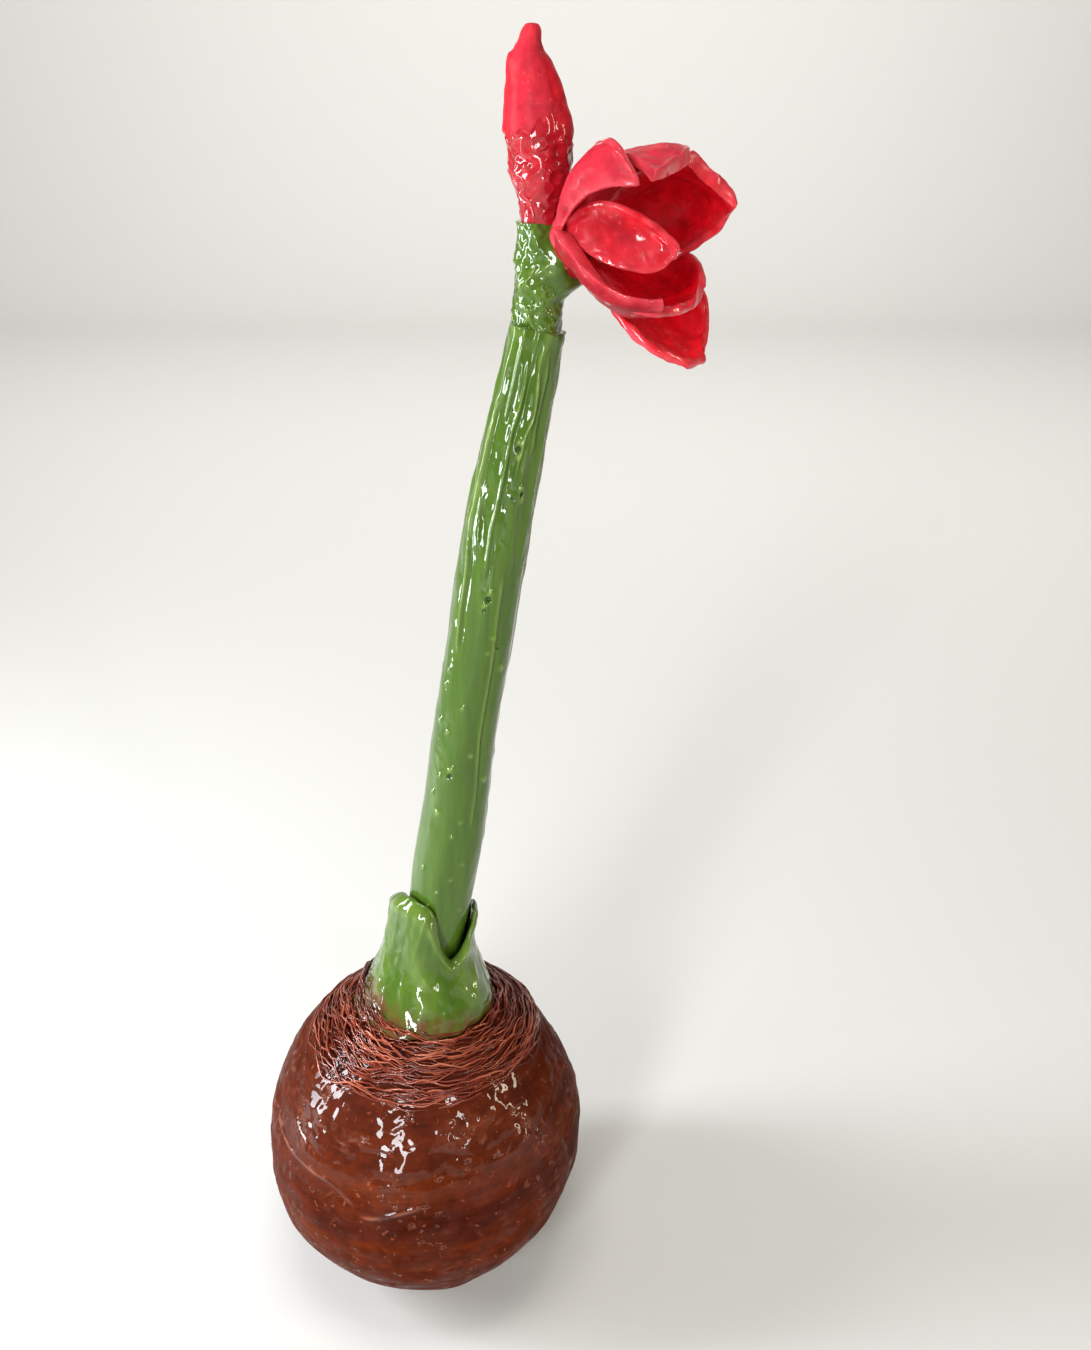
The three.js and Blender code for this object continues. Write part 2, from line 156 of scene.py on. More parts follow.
# Raised lines that the modelling tool left on the stem, as height against turn in degrees.
STEM_LINES = [
    [(214, -40), (228, -43), (239, -46), (250, -55), (261, -52), (271, -51), (286, -56)],
    [(236, -8), (249, -12), (258, -9), (268, -9), (276, -10), (283, -4), (296, -7)],
    [(262, 14), (275, 18), (281, 26), (294, 17), (299, 21)],
    [(268, 34), (274, 38), (280, 36), (287, 39), (298, 33)],
    [(276, -31), (292, -27), (299, -29)],
    [(160, 35), (174, 37), (190, 31), (202, 30), (214, 28), (228, 25), (240, 22)],
    [(150, 95), (190, 104), (230, 99), (262, 108), (296, 101)],
    [(170, 160), (205, 152), (240, 163), (290, 155)],
    [(140, -120), (180, -128), (225, -118), (270, -131), (297, -125)],
]
# Holes and grains on the stem, as turn in degrees, height, radius.
STEM_PITS = [
    (10, 271.8, 1.1), (35, 260.4, 1.0), (18, 259.0, 0.7), (4, 231.7, 1.1), (1, 228.6, 0.6), (-15, 178.8, 1.0),
    (38, 217.5, 0.7), (150, 250.0, 0.9), (-100, 208.0, 0.8), (112, 182.0, 0.9),
]
STEM_GRAINS = [
    (-51, 209.4, 0.5), (-53, 205.2, 0.5), (-9, 199.8, 0.55), (-53, 194.2, 0.7), (-31, 191.6, 0.5),
    (-34, 178.1, 0.5), (-47, 172.4, 0.5), (-29, 166.6, 0.9), (15, 164.5, 0.7), (3, 159.8, 0.6),
    (18, 185.6, 0.7), (18, 216.6, 0.6), (51, 211.5, 0.8), (13, 145.4, 0.6), (-8, 141.1, 0.5),
    (53, 177.0, 0.8), (-14, 181.0, 0.8), (8, 273.6, 0.8), (13, 270.0, 0.7), (32, 262.2, 0.7),
    (38, 258.8, 0.8), (6, 233.6, 0.8), (0, 230.0, 0.7), (-40, 148.0, 0.6), (30, 150.5, 0.6),
    (-22, 136.0, 0.5), (41, 134.0, 0.5), (24, 221.0, 0.7),
]

# Head with the branch to the flower, and closed bud, as in the part's source.
HEAD_AXIS = [(301, 37.9), (306, 38.1), (312, 38.8), (318, 39.3), (325.4, 38.5)]
HEAD_RADIUS = [(301, 6.0), (306, 6.1), (312, 6.5), (318, 6.3), (325.4, 5.4)]
HEAD_FOOT = 300.0
HEAD_TOP = 325.8
HEAD_COLUMNS = 210
HEAD_ROWS = 120
BRANCH_RADIUS = 5.6
BUD_AXIS = [
    (325.7, 39.3), (336, 38.8), (347, 38.3), (352, 37.7), (357, 37.2), (362, 36.4), (368.5, 36.9),
]
BUD_RADIUS = [
    (325.7, 5.1), (330.6, 6.2), (336, 7.8), (341, 8.2), (346.6, 8.5), (352, 7.4), (357, 6.4), (362, 4.9),
    (366, 3.2), (368.5, 1.6),
]
BUD_FOOT = 325.4
BUD_TOP = 368.5
BUD_COLUMNS = 260
BUD_ROWS = 230
BUD_SEAMS = [14, 150, 265]
BUD_SEAM_STEP = 0.8
BUD_SLANT = 25
BUD_VARNISH_LINE = 346.0
BUD_SHEATH_STEP = 0.7

# Open flower. Each petal is a sheet through three curves, its near edge, its middle line and its far edge,
# each through four places from the seat to the tip. The solids in the part's source follow the same curves to
# within 3 mm at the seat and 1 mm elsewhere. tone and shade give the inside, the outside and, for shade, the
# edge; tone mixes crimson into red, partly as painted shade, and shade is painted light and shade, a factor
# on the brightness. bead and edge, the edge's thickness, give the near side, the far side and the tip.
FLOWER_SEAT = np.array([45.5, -2.0, 316.5])
FLOWER_FACING = np.array([0.8, -0.6, 0.0])
FLOWER_SIDEWAYS = np.array([-0.6, -0.8, 0.0])
UP = np.array([0.0, 0.0, 1.0])
SEAT_RADIUS = 3.6
SEAT_BACK = 1.8
SEAT_HEIGHT = 5.5
PETAL_THICKNESS = 2.4
PETAL_ROWS = 150
PETAL_COLUMNS = 180
PETAL_SEED = 200
SEEDS_PER_PETAL = 20
# Rounding of a petal's edge in mm: common, and on the side and the tip of a petal that is cut blunt.
EDGE_ROUND = 1.3
BLUNT_SIDE_ROUND = 1.9
BLUNT_TIP_ROUND = 3.2
PETALS = {
    "petal_inner_near": {
        "tip": 0.75, "round": 0.15, "groove": 0.15, "tone": (0.2, 0.55), "shade": (0.95, 0.9, 1.05),
        "bead": (0.45, 0.1, 0.45), "edge": (0.9, 1.0, 1.0),
        "near": [(-0.5, -10.0, 11.0), (6.5, -14.0, 15.5), (15.5, -15.5, 13.0), (25.0, -16.5, 6.5)],
        "middle": [(0.0, -10.0, 9.0), (6.5, -12.5, 9.5), (16.0, -13.5, 7.0), (25.5, -16.0, 5.0)],
        "far": [(0.5, -9.5, 7.0), (5.0, -14.5, 3.5), (15.5, -16.5, 0.0), (24.0, -15.5, 3.0)],
    },
    "petal_outer_near": {
        "tip": 0.7, "round": 0.2, "groove": 0.15, "tone": (0.4, 0.8), "shade": (0.9, 0.6, 0.9),
        "bead": (0.8, 0.1, 0.3), "edge": (2.6, 1.6, 2.2),
        "near": [(-2.0, -9.5, 9.0), (2.0, -17.0, 4.5), (10.0, -20.5, -3.0), (21.0, -22.0, -4.5)],
        "middle": [(-3.0, -5.5, 5.5), (2.5, -11.0, -0.5), (10.5, -16.0, -7.0), (21.5, -21.5, -6.0)],
        "far": [(-0.5, -4.5, -1.0), (7.0, 1.0, -6.0), (15.5, -0.5, -11.5), (21.5, -18.0, -7.5)],
    },
    "petal_hood": {
        "tip": 0.9, "round": 0.1, "groove": 0.0, "tone": (0.4, 1.0), "shade": (0.9, 0.97, 0.95),
        "bead": (0.3, 0.1, 0.1), "edge": (1.8, 1.6, 1.8),
        "near": [(-2.5, -5.5, 3.5), (0.5, -15.0, 13.0), (6.0, -23.0, 18.5), (15.0, -27.0, 19.5)],
        "middle": [(-3.5, -5.0, 6.5), (-0.5, -12.5, 15.5), (3.5, -19.5, 23.5), (13.0, -27.0, 25.0)],
        "far": [(0.0, 0.0, 5.0), (6.0, 2.0, 12.5), (6.5, -7.0, 24.0), (8.5, -23.0, 29.0)],
    },
    "petal_inner_low": {
        "tip": 0.6, "round": 0.25, "groove": 0.15, "tone": (0.05, 0.8), "shade": (1.3, 0.75, 1.0),
        "bead": (0.3, 0.3, 0.4), "edge": (1.6, 1.6, 2.0),
        "near": [(1.5, -2.5, -0.5), (4.5, -9.0, 0.5), (10.5, -17.5, -5.0), (16.5, -23.5, -7.5)],
        "middle": [(2.0, -1.0, -3.0), (14.0, 6.5, -3.5), (23.0, 4.0, -8.0), (26.0, -14.0, -9.0)],
        "far": [(3.5, 1.5, -1.5), (20.5, 14.5, 0.5), (31.5, 11.0, 0.0), (32.0, -5.5, -8.0)],
    },
    "petal_far": {
        "tip": 0.99, "round": 0.05, "groove": 0.1, "tone": (0.1, 0.9), "shade": (1.1, 1.0, 0.95),
        "bead": (0.3, 0.4, 0.3), "edge": (1.6, 1.2, 3.3),
        "near": [(2.0, 1.0, 3.0), (12.5, 5.5, 17.5), (22.0, 2.0, 22.5), (28.0, -5.5, 24.5)],
        "middle": [(4.0, 2.0, 1.5), (20.0, 16.0, 10.5), (31.0, 13.5, 14.5), (34.0, -2.0, 19.5)],
        "far": [(4.0, 2.0, -2.0), (20.5, 10.5, -2.5), (33.0, 9.0, 3.0), (40.5, 2.0, 13.0)],
    },
    "petal_top": {
        "tip": 0.98, "round": 0.05, "groove": 0.0, "tone": (0.6, 1.0), "shade": (1.0, 1.35, 1.1),
        "bead": (0.2, 0.2, 0.5), "edge": (2.0, 1.6, 3.2),
        "near": [(0.0, -1.5, 4.0), (4.5, -7.0, 17.0), (11.0, -17.0, 24.5), (18.0, -27.0, 21.0)],
        "middle": [(1.0, 0.0, 4.0), (14.5, 6.5, 20.5), (19.5, -6.0, 26.0), (22.5, -22.0, 23.5)],
        "far": [(2.5, 1.5, 3.0), (21.0, 16.5, 18.5), (27.5, 3.5, 25.0), (27.0, -14.0, 25.5)],
    },
    "petal_outer_low": {
        "tip": 0.93, "round": 0.06, "groove": 0.15, "tone": (0.12, 0.8), "shade": (1.6, 1.0, 1.1),
        "bead": (0.4, 0.2, 0.4), "edge": (1.6, 1.2, 1.4),
        "near": [(2.0, -1.0, -1.5), (9.5, -1.5, -7.5), (16.5, -8.0, -16.0), (29.0, -6.0, -23.0)],
        "middle": [(2.0, 0.5, -3.5), (14.5, 13.0, -10.5), (25.5, 10.5, -17.5), (32.5, 0.0, -25.0)],
        "far": [(3.5, 3.5, -1.5), (22.5, 20.0, -2.5), (35.0, 20.0, -9.0), (33.0, 3.5, -24.5)],
    },
}

# Camera: its place in m, how far it looks down in degrees, and its lens in mm.
CAMERA_PLACE = (0.0401, -0.351, 0.366)
CAMERA_DOWN = 24.5
CAMERA_LENS = 37.33


def linear(hex_colour):
    """Linear RGB of an sRGB hex colour."""
    shares = np.array([int(hex_colour[i:i + 2], 16) for i in (1, 3, 5)]) / 255
    return tuple(np.where(shares <= 0.04045, shares / 12.92, ((shares + 0.055) / 1.055) ** 2.4).tolist())


def through(table, place):
    """Smooth value through pairs of place and value: a cubic between pairs, slopes from the neighbours."""
    places, values = np.asarray(table, float).T
    here = np.clip(place, places[0], places[-1])
    k = np.clip(np.searchsorted(places, here, side="left") - 1, 0, len(places) - 2)
    before = np.maximum(np.arange(len(places)) - 1, 0)
    after = np.minimum(np.arange(len(places)) + 1, len(places) - 1)
    slope = (values[after] - values[before]) / (places[after] - places[before])
    span = places[k + 1] - places[k]
    t = (here - places[k]) / span
    bend = span * slope[k] * t * (1 - t) ** 2 - span * slope[k + 1] * t * t * (1 - t)
    return mix(values[k], values[k + 1], rise(t, 0, 1)) + bend


def mix(a, b, share):
    """Value that share of the way from a to b."""
    return a + (b - a) * share


def rise(value, low, high):
    """0 below low, 1 above high, and 3t^2 - 2t^3 between them."""
    t = np.clip((value - low) / (high - low), 0, 1)
    return t * t * (3 - 2 * t)


def plateau(value, low, full, still, end):
    """Rises from 0 at low to 1 at full, and falls from 1 at still to 0 at end."""
    return rise(value, low, full) * (1 - rise(value, still, end))


def on_path(value, path, fade):
    """1 along a path's own range of its first numbers, falling to 0 over the last fade at each end."""
    return plateau(value, path[0][0], path[0][0] + fade, path[-1][0] - fade, path[-1][0])


def bell(distance, width, power=2):
    """exp(-(distance / width)^power)."""
    return np.exp(-(distance / width) ** power)


def ripple(points, wavelength, seed, stretch=(1, 1, 1), waves=14):
    """Uneven field of about -1 to 1: a sum of sine waves in random directions, of about one wavelength in mm.

    stretch lengthens the waves along X, Y and Z.
    """
    rng = np.random.default_rng(seed)
    heading = rng.normal(size=(waves, 3))
    heading /= np.linalg.norm(heading, axis=1, keepdims=True)
    pitch = FULL_TURN / (wavelength * rng.uniform(0.7, 1.5, (waves, 1)))
    phase = rng.uniform(0, FULL_TURN, waves)
    angles = (points / np.asarray(stretch, float)) @ (heading * pitch).T + phase
    return np.sin(angles).sum(-1) * 0.6 / math.sqrt(waves / 2)


def creases(points, wavelength, seed, stretch=(1, 1, 1)):
    """Field from 0 to 1 with thin winding crests: 1 less 1.6 times the size of a ripple, squared."""
    return np.clip(1 - np.abs(ripple(points, wavelength, seed, stretch)) * 1.6, 0, 1) ** 2


def apart(turn, other):
    """Difference between two turns in degrees, from -180 to 180."""
    return (turn - other + 180) % 360 - 180


def round_axis(axis_x, reach, turn, z):
    """Points at a turn in radians and a reach round an upright axis that passes axis_x at the height z."""
    return np.stack(np.broadcast_arrays(axis_x + reach * np.sin(turn), -reach * np.cos(turn), z), -1)


def walked(across, up):
    """Distance walked along a line of points, from 0 at its start."""
    return np.concatenate([[0], np.cumsum(np.hypot(np.diff(across), np.diff(up)))])


def dots(turn, height, radius_there, places, grow=1.0):
    """Sum of round bells exp(-(distance / radius)^2) at places given as turn in degrees, height, radius."""
    return sum(
        bell(np.hypot(np.radians(apart(turn, at_turn)) * radius_there, height - at_height), size * grow)
        for at_turn, at_height, size in places
    )


def chips(count, seed, low, high):
    """Random short strokes for chips in the glaze: turn in degrees, height, half length, half width, lean."""
    rng = np.random.default_rng(seed)
    return np.stack([
        rng.uniform(-180, 180, count), rng.uniform(low, high, count), rng.uniform(0.7, 2.2, count),
        rng.uniform(0.3, 0.55, count), rng.uniform(-1.2, 1.2, count),
    ], -1)


def strokes(turn, height, radius_there, marks):
    """Sum of oval bells for short strokes, each sunk along one long side and raised along the other."""
    total = np.zeros(turn.shape)
    for at_turn, at_height, length, width, lean in marks:
        sideways = np.radians(apart(turn, at_turn)) * radius_there
        upward = height - at_height
        along = sideways * math.cos(lean) + upward * math.sin(lean)
        across = upward * math.cos(lean) - sideways * math.sin(lean)
        total += bell(along, length) * bell(across, width) * (across / width * 0.9 - 0.6)
    return total


def put_mesh(name, points, faces, attributes):
    """Mesh object from points in mm and lists of faces of any size; faces turn outwards.

    The faces are turned round where the signed volume, a sixth of the sum of a . (b x c), is below zero.
    """
    volume = sum(
        np.einsum("ij,ij->", points[f[:, 0]], np.cross(points[f[:, k]], points[f[:, k + 1]]))
        for f in faces for k in range(1, f.shape[1] - 1)
    )
    order = -1 if volume < 0 else 1
    corners = np.concatenate([np.ravel(f[:, ::order]) for f in faces])
    counts = np.concatenate([np.full(len(f), f.shape[1]) for f in faces])
    mesh = bpy.data.meshes.new(name)
    mesh.vertices.add(len(points))
    mesh.vertices.foreach_set("co", np.ravel(points * MM).astype(np.float32))
    mesh.loops.add(len(corners))
    mesh.loops.foreach_set("vertex_index", corners.astype(np.int32))
    mesh.polygons.add(len(counts))
    mesh.polygons.foreach_set("loop_start", (np.cumsum(counts) - counts).astype(np.int32))
    mesh.polygons.foreach_set("use_smooth", np.ones(len(counts), bool))
    mesh.update(calc_edges=True)
    for key, values in attributes.items():
        layer = mesh.attributes.new(key, "FLOAT", "POINT")
        layer.data.foreach_set("value", np.ravel(values).astype(np.float32))
    if mesh.validate():
        raise RuntimeError(f"the mesh of {name} has faults")
    piece = bpy.data.objects.new(name, mesh)
    bpy.context.scene.collection.objects.link(piece)
    return piece


def ring_quads(rows, columns, joined=False):
    """Quads from each ring of points to the next, and where joined from the last ring to the first."""
    here = np.arange(rows * columns).reshape(rows, columns)
    if joined:
        here = np.concatenate([here, here[:1]])
    beside = np.roll(here, -1, axis=1)
    return np.stack([here[:-1], beside[:-1], beside[1:], here[1:]], -1).reshape(-1, 4)


def tube_faces(rows, columns, start=0):
    """Quads between rings, and fans to a pole at each end. The poles are the two points after the rings."""
    pole = np.full(columns, rows * columns)
    low = np.arange(columns)
    high = low + (rows - 1) * columns
    fans = [np.stack([pole, np.roll(low, -1), low], -1), np.stack([pole + 1, high, np.roll(high, -1)], -1)]
    return ring_quads(rows, columns) + start, np.concatenate(fans) + start


def closed_tube(name, grid, attributes):
    """Closed mesh from rings of points [ring, place, xyz], with a pole at each end."""
    points = np.concatenate([grid.reshape(-1, 3), grid[[0, -1]].mean(1)])
    values = {}
    for key, field in attributes.items():
        field = np.broadcast_to(field, grid.shape[:2])
        values[key] = np.concatenate([np.ravel(field), field[[0, -1]].mean(1)])
    return put_mesh(name, points, tube_faces(*grid.shape[:2]), values)


def capped_column(axis, z, reach, turn, cap, dome=0.0):
    """Rings up a bent axis, with more rings at each end whose reach is the end ring's times cap.

    The upper ones are raised by dome.
    """
    heights = np.concatenate([z[:1] + 0 * cap, z, z[-1:] + dome * np.ones(cap.shape)])
    reaches = np.concatenate([reach[:1] * cap[::-1], reach, reach[-1:] * cap])
    return round_axis(through(axis, heights), reaches, turn, heights)


def fill(made, pairs):
    """Gives a node's sockets, by name or number, a value or a link from another node's output."""
    for key, value in pairs.items():
        socket = made.inputs[key]
        if isinstance(value, bpy.types.NodeSocket):
            made.id_data.links.new(value, socket)
        else:
            socket.default_value = (*value, 1.0) if socket.type == "RGBA" else value


def node(tree, kind, *values, **named):
    """Adds a shader node and gives its output "Fac", or else the first one in use.

    values go to the sockets in use in their order, such as value, from min, from max, to min and to max. A
    named value is a socket's where it has a capital, and otherwise a setting.
    """
    made = tree.nodes.new("ShaderNode" + kind)
    for key in [key for key in named if key.islower()]:
        setattr(made, key, named.pop(key))
    in_use = [number for number, socket in enumerate(made.inputs) if socket.enabled]
    fill(made, {**dict(zip(in_use, values)), **named})
    return made.outputs.get("Fac") or next(socket for socket in made.outputs if socket.enabled)


def surface(name, coat, coat_roughness, roughness):
    """A Principled material under a clear coat, node for its tree, and the Object coordinates."""
    material = bpy.data.materials.new(name)
    material.use_nodes = True
    add = partial(node, material.node_tree)
    shader = material.node_tree.nodes["Principled BSDF"]
    fill(shader, {
        "IOR": 1.5, "Specular IOR Level": 0.06, "Roughness": roughness, "Coat Weight": coat,
        "Coat Roughness": coat_roughness, "Coat IOR": 1.45,
    })
    return material, add, shader, add("TexCoord").node.outputs["Object"]


def pits(add, place, spacing, size):
    """Irregular pits at scattered points, as a cone from 1 in the middle of a pit to 0 at its edge.

    spacing is the mean distance of the points in mm and size the largest radius in mm; a third have none.
    Noise of 2 mm bends the coordinates first, so that no pit is round.
    """
    noise = add("TexNoise", place, 480.0, 2.0).node.outputs["Color"]
    bent = add("VectorMath", noise, (0.006, 0.006, 0.004), place, operation="MULTIPLY_ADD")
    cells = add("TexVoronoi", bent, 1000.0 / spacing)
    chance = add("SeparateColor", cells.node.outputs["Color"])
    reach = add("MapRange", chance, 0.33, 1.0, 0.001, size / spacing)
    return add("MapRange", cells, 0.0, reach, 1.0, 0.0)


def brown_glaze(colours):
    """Glazed earthenware, brushed on brown and fired glossy.

    The glaze lies in broad bands round the bulb, thin and orange on the crests and purple-brown where it is
    thick, under a clear gloss. Pits up to 1.5 mm in radius, 4.2 mm apart, are glossy and darker inside, with
    pale red edges that are bare clay and painted glint in one.
    """
    material, add, shader, place = surface("brown_glaze", 0.5, 0.04, 0.5)
    gloss, band, worn_and_glint = (add("Attribute", attribute_name=key) for key in ("gloss", "band", "worn_and_glint"))
    pit = pits(add, place, 4.2, 1.5)
    shiny = add("Math", gloss, pit, operation="MAXIMUM")
    thick = add("MapRange", band, 0.0, -1.0)
    thin = add("MapRange", band, 0.0, 1.0)
    darker = add("Mix", thick, colours.glaze, colours.glaze_thick, data_type="RGBA")
    banded = add("Mix", thin, darker, colours.glaze_thin, data_type="RGBA")
    # Brush hairs draw lines 1 to 2 mm apart that run round the bulb.
    hairs = add("TexNoise", add("Mapping", place, Scale=(0.08, 0.08, 1.0)), 700.0, 3.0, 0.6)
    shade = add("MapRange", hairs, 0.3, 0.7, 0.8, 1.15)
    # Clouds of 4 mm where the brush left more or less glaze.
    clouds = add("TexNoise", place, 240.0, 4.0, 0.65)
    shade = add("Math", shade, add("MapRange", clouds, 0.3, 0.7, 0.68, 1.32), operation="MULTIPLY")
    shade = add("Math", shade, add("MapRange", pit, 0.3, 0.7, 1.0, 0.4), operation="MULTIPLY")
    tinted = add("VectorMath", banded, shade, operation="SCALE")
    # Bare red clay in specks of 1 to 2 mm where the glaze crawled, and bare clay with painted glint on the
    # pits'
    # edges and on the worn places: runs, chip sides and blister rings.
    specks = add("TexNoise", place, 520.0, 1.0)
    bare = add("MapRange", specks, 0.7, 0.74, 0.0, 0.45)
    edge = add("Math", add("Math", pit, 0.3, 0.26, operation="COMPARE"), 0.28, operation="MULTIPLY")
    bare = add("Math", add("Math", bare, edge, operation="MAXIMUM"), worn_and_glint, operation="MAXIMUM")
    coloured = add("Mix", bare, tinted, colours.clay, data_type="RGBA")
    # Orange-peel of 4 mm with the brush hairs on it, and the pits sunk into both.
    peel = add("TexNoise", place, 250.0, 2.0)
    bump = add("Bump", Strength=0.55, Distance=0.0003, Height=peel)
    fine = add("Bump", Strength=0.35, Distance=0.0002, Height=hairs, Normal=bump)
    fill(shader, {
        "Base Color": coloured, "Specular IOR Level": 0.02,
        "Coat Weight": add("MapRange", shiny, 0.0, 1.0, 0.0, 0.75),
        "Normal": add("Bump", Strength=0.6, Distance=0.0006, Height=pit, Normal=fine, invert=True),
        "Coat Normal": add("Bump", Strength=1.0, Distance=0.0009, Height=pit, Normal=bump, invert=True),
    })
    return material


def fibre_glaze(colours):
    """Scored clay threads under glossy brown glaze, with painted light: a copper painted highlight on their
    crests and dark red-brown painted shade between them and on threads that lie low.
    """
    material, add, shader, place = surface("fibre_glaze", 0.9, 0.04, 0.4)
    tone = add("Attribute", attribute_name="tone")
    # Patches of 8 mm where the brush left more glaze.
    patch = add("TexNoise", place, 120.0, 2.0)
    lit = add("Math", tone, add("MapRange", patch, 0.3, 0.65, 0.6, 1.25), operation="MULTIPLY")
    brown = add("Mix", add("MapRange", lit, 0.0, 0.6), colours.fibre_shade, colours.fibre, data_type="RGBA")
    coloured = add("Mix", add("MapRange", lit, 0.6, 1.2), brown, colours.fibre_highlight, data_type="RGBA")
    grain = add("TexNoise", place, 1500.0, 2.0)
    bump = add("Bump", Strength=0.5, Distance=0.0002, Height=grain)
    fill(shader, {"Base Color": coloured, "Normal": bump, "Coat Normal": bump})
    return material


def green_glaze(colours):
    """Glazed earthenware in leaf green, brushed lengthways and glossy.

    Pale yellow-green shows in lengthwise streaks and on crests, and the green turns to olive brown at the
    foot of the collar, where it was wiped over the brown glaze.
    """
    material, add, shader, place = surface("green_glaze", 1.0, 0.03, 0.4)
    crest, foot, pit = (add("Attribute", attribute_name=key) for key in ("crest", "foot", "pit"))
    # Lengthwise brush streaks about 2.4 mm wide and 30 mm long.
    streaks = add("TexNoise", add("Mapping", place, Scale=(1.0, 1.0, 0.08)), 420.0, 3.0, 0.6)
    dark = add("MapRange", streaks, 0.38, 0.68)
    brushed = add("Mix", dark, colours.green_dark, colours.green, data_type="RGBA")
    pale = add("Math", crest, add("TexNoise", place, 90.0, 2.0), operation="MULTIPLY")
    lightened = add("Mix", pale, brushed, colours.green_light, data_type="RGBA")
    wiped = add("Mix", foot, lightened, colours.olive, data_type="RGBA")
    # Painted shade: the dark colour in the stem's pits and on the collar's inside wall.
    pitted = add("Mix", pit, wiped, colours.pit_shade, data_type="RGBA")
    # Orange-peel 3 mm wide, drawn out to 6 mm along the stem.
    peel = add("TexNoise", add("Mapping", place, Scale=(1.0, 1.0, 0.5)), 330.0, 2.0)
    bump = add("Bump", Strength=0.6, Distance=0.0004, Height=peel)
    fine = add("Bump", Strength=0.4, Distance=0.00015, Height=streaks, Normal=bump)
    fill(shader, {"Base Color": pitted, "Normal": fine, "Coat Normal": bump})
    return material


def red_glaze(colours):
    """Glazed earthenware in warm red, satin on the broad faces and glossy where the coat is thick.

    The red is warm outside and crimson inside the cup, the crimson partly painted shade. Painted shade
    darkens it most in the depth of the cup, and the shade attribute paints light and shade on each face. Pale
    coral on the rims is painted highlight, and coral specks of 1 mm are where the glaze ran thin.
    """
    material, add, shader, place = surface("red_glaze", 0.5, 0.2, 0.45)
    names = ("gloss", "tone", "rim", "shade")
    gloss, tone, rim, depth = (add("Attribute", attribute_name=key) for key in names)
    body = add("Mix", tone, colours.crimson, colours.red, data_type="RGBA")
    mottle = add("TexNoise", place, 260.0, 4.0, 0.6)
    # Painted light and shade: the shade attribute brightens or darkens each face and darkens the depth of the
    # cup.
    shade = add("Math", add("MapRange", mottle, 0.3, 0.7, 0.78, 1.2), depth, operation="MULTIPLY")
    mottled = add("VectorMath", body, shade, operation="SCALE")
    speck = add("MapRange", add("TexNoise", place, 750.0, 2.0), 0.62, 0.74, 0.0, 0.4)
    # Painted highlight in coral along the rims, and real thin-glaze specks.
    thin = add("Math", add("Math", rim, mottle, operation="MULTIPLY"), speck, operation="MAXIMUM")
    peel = add("TexNoise", place, 900.0, 3.0)
    bump = add("Bump", Strength=0.3, Distance=0.0002, Height=peel)
    fill(shader, {
        "Base Color": add("Mix", thin, mottled, colours.coral, data_type="RGBA"),
        "Coat Weight": add("MapRange", gloss, 0.0, 1.0, 0.03, 1.0),
        "Coat Roughness": add("MapRange", gloss, 0.0, 1.0, 0.35, 0.05),
        "Normal": bump, "Coat Normal": bump,
    })
    return material


def glaze_runs(degrees, height, width):
    """Crests exp(-(distance / width)^2) along the runs of the bulb's glaze, thinning at their ends."""
    return sum(
        bell(height - through(path, degrees), width) * on_path(degrees, path, 7) for path in GLAZE_RUNS
    )


def bulb_relief(turn, height, radius, points):
    """Relief of the bulb's side in mm, outwards.

    Low lumps of 28 mm, brush ridges about 5 mm apart that run round, winding crests just below the fibres,
    corrugations, runs of glaze with a step below each, ring-shaped blisters, short chips, and upright ridges
    on the left and the right side.
    """
    degrees = np.degrees(turn)
    relief = 0.35 * ripple(points, 28, 11) + 0.16 * ripple(points, 11, 12)
    relief += 0.13 * ripple(points, 5.0, 13, (5, 5, 1)) * (1 - rise(height, 84, 90))
    crests = 0.14 * creases(points, 9, 14, (1.6, 1.6, 0.8)) + 0.09 * ripple(points, 4, 15)
    relief += crests * plateau(height, 60, 72, 88, 94)
    # Zigzag corrugations 3.2 mm apart, left by the fingers in two patches of the shoulder.
    patch = bell(apart(degrees, -8), 12) + 0.8 * bell(apart(degrees, 150), 22)
    zigzag = height + 0.9 * np.sin(turn * 26) + 0.8 * ripple(points, 9, 17)
    relief += 0.085 * patch * plateau(height, 70, 77, 85, 88) * np.sin(FULL_TURN * zigzag / 3.2)
    broken = bell(apart(degrees, -40), 17) * plateau(height, 71, 77, 88, 92)
    relief += 0.13 * broken * ripple(points, 3.6, 18, (0.8, 0.8, 1.7))
    relief += 0.5 * glaze_runs(degrees, height, 0.6)
    for path in GLAZE_RUNS:
        above = height - through(path, degrees)
        relief += 0.18 * np.tanh(above / 0.7) * bell(above, 7) * on_path(degrees, path, 9)
    relief += 0.55 * dots(degrees, height, radius, BLISTERS)
    relief -= 0.75 * dots(degrees, height, radius, BLISTERS, 0.5)
    relief += 0.42 * strokes(degrees, height, radius, chips(*BULB_CHIPS))
    sides = bell(apart(degrees, -78), 16) + bell(apart(degrees, 84), 18)
    relief += 0.16 * sides * ripple(points, 3.2, 16, (1, 1, 6)) * rise(height, 20, 40)
    return relief * rise(height, 1.5, 9)


def bulb_band(turn, height, points):
    """Colour band of the glaze, from -1 for thick and dark to 1 for thin and orange.

    An orange band at about 62 mm and a dark one at about 51 mm wander round the bulb between brush strokes.
    """
    wander = 2.0 * np.sin(2 * turn + 0.4) + 1.6 * ripple(points, 22, 31)
    orange = 0.85 * bell(height - ORANGE_BAND - wander, 4.2) * (0.75 + 0.5 * ripple(points, 30, 32))
    dark = bell(height - DARK_BAND - 2.4 * np.sin(turn - 0.2) - 0.7 * wander, 4.4)
    dark = 0.55 * dark * (0.9 + 0.5 * ripple(points, 26, 33))
    low = 0.35 * bell(height - 40, 5) * (1 + ripple(points, 18, 34))
    brushed = 0.26 * ripple(points, 9, 35, (2.4, 2.4, 1)) + 0.12 * ripple(points, 4, 36, (3, 3, 1))
    return np.clip(orange - dark + low + brushed, -1, 1)


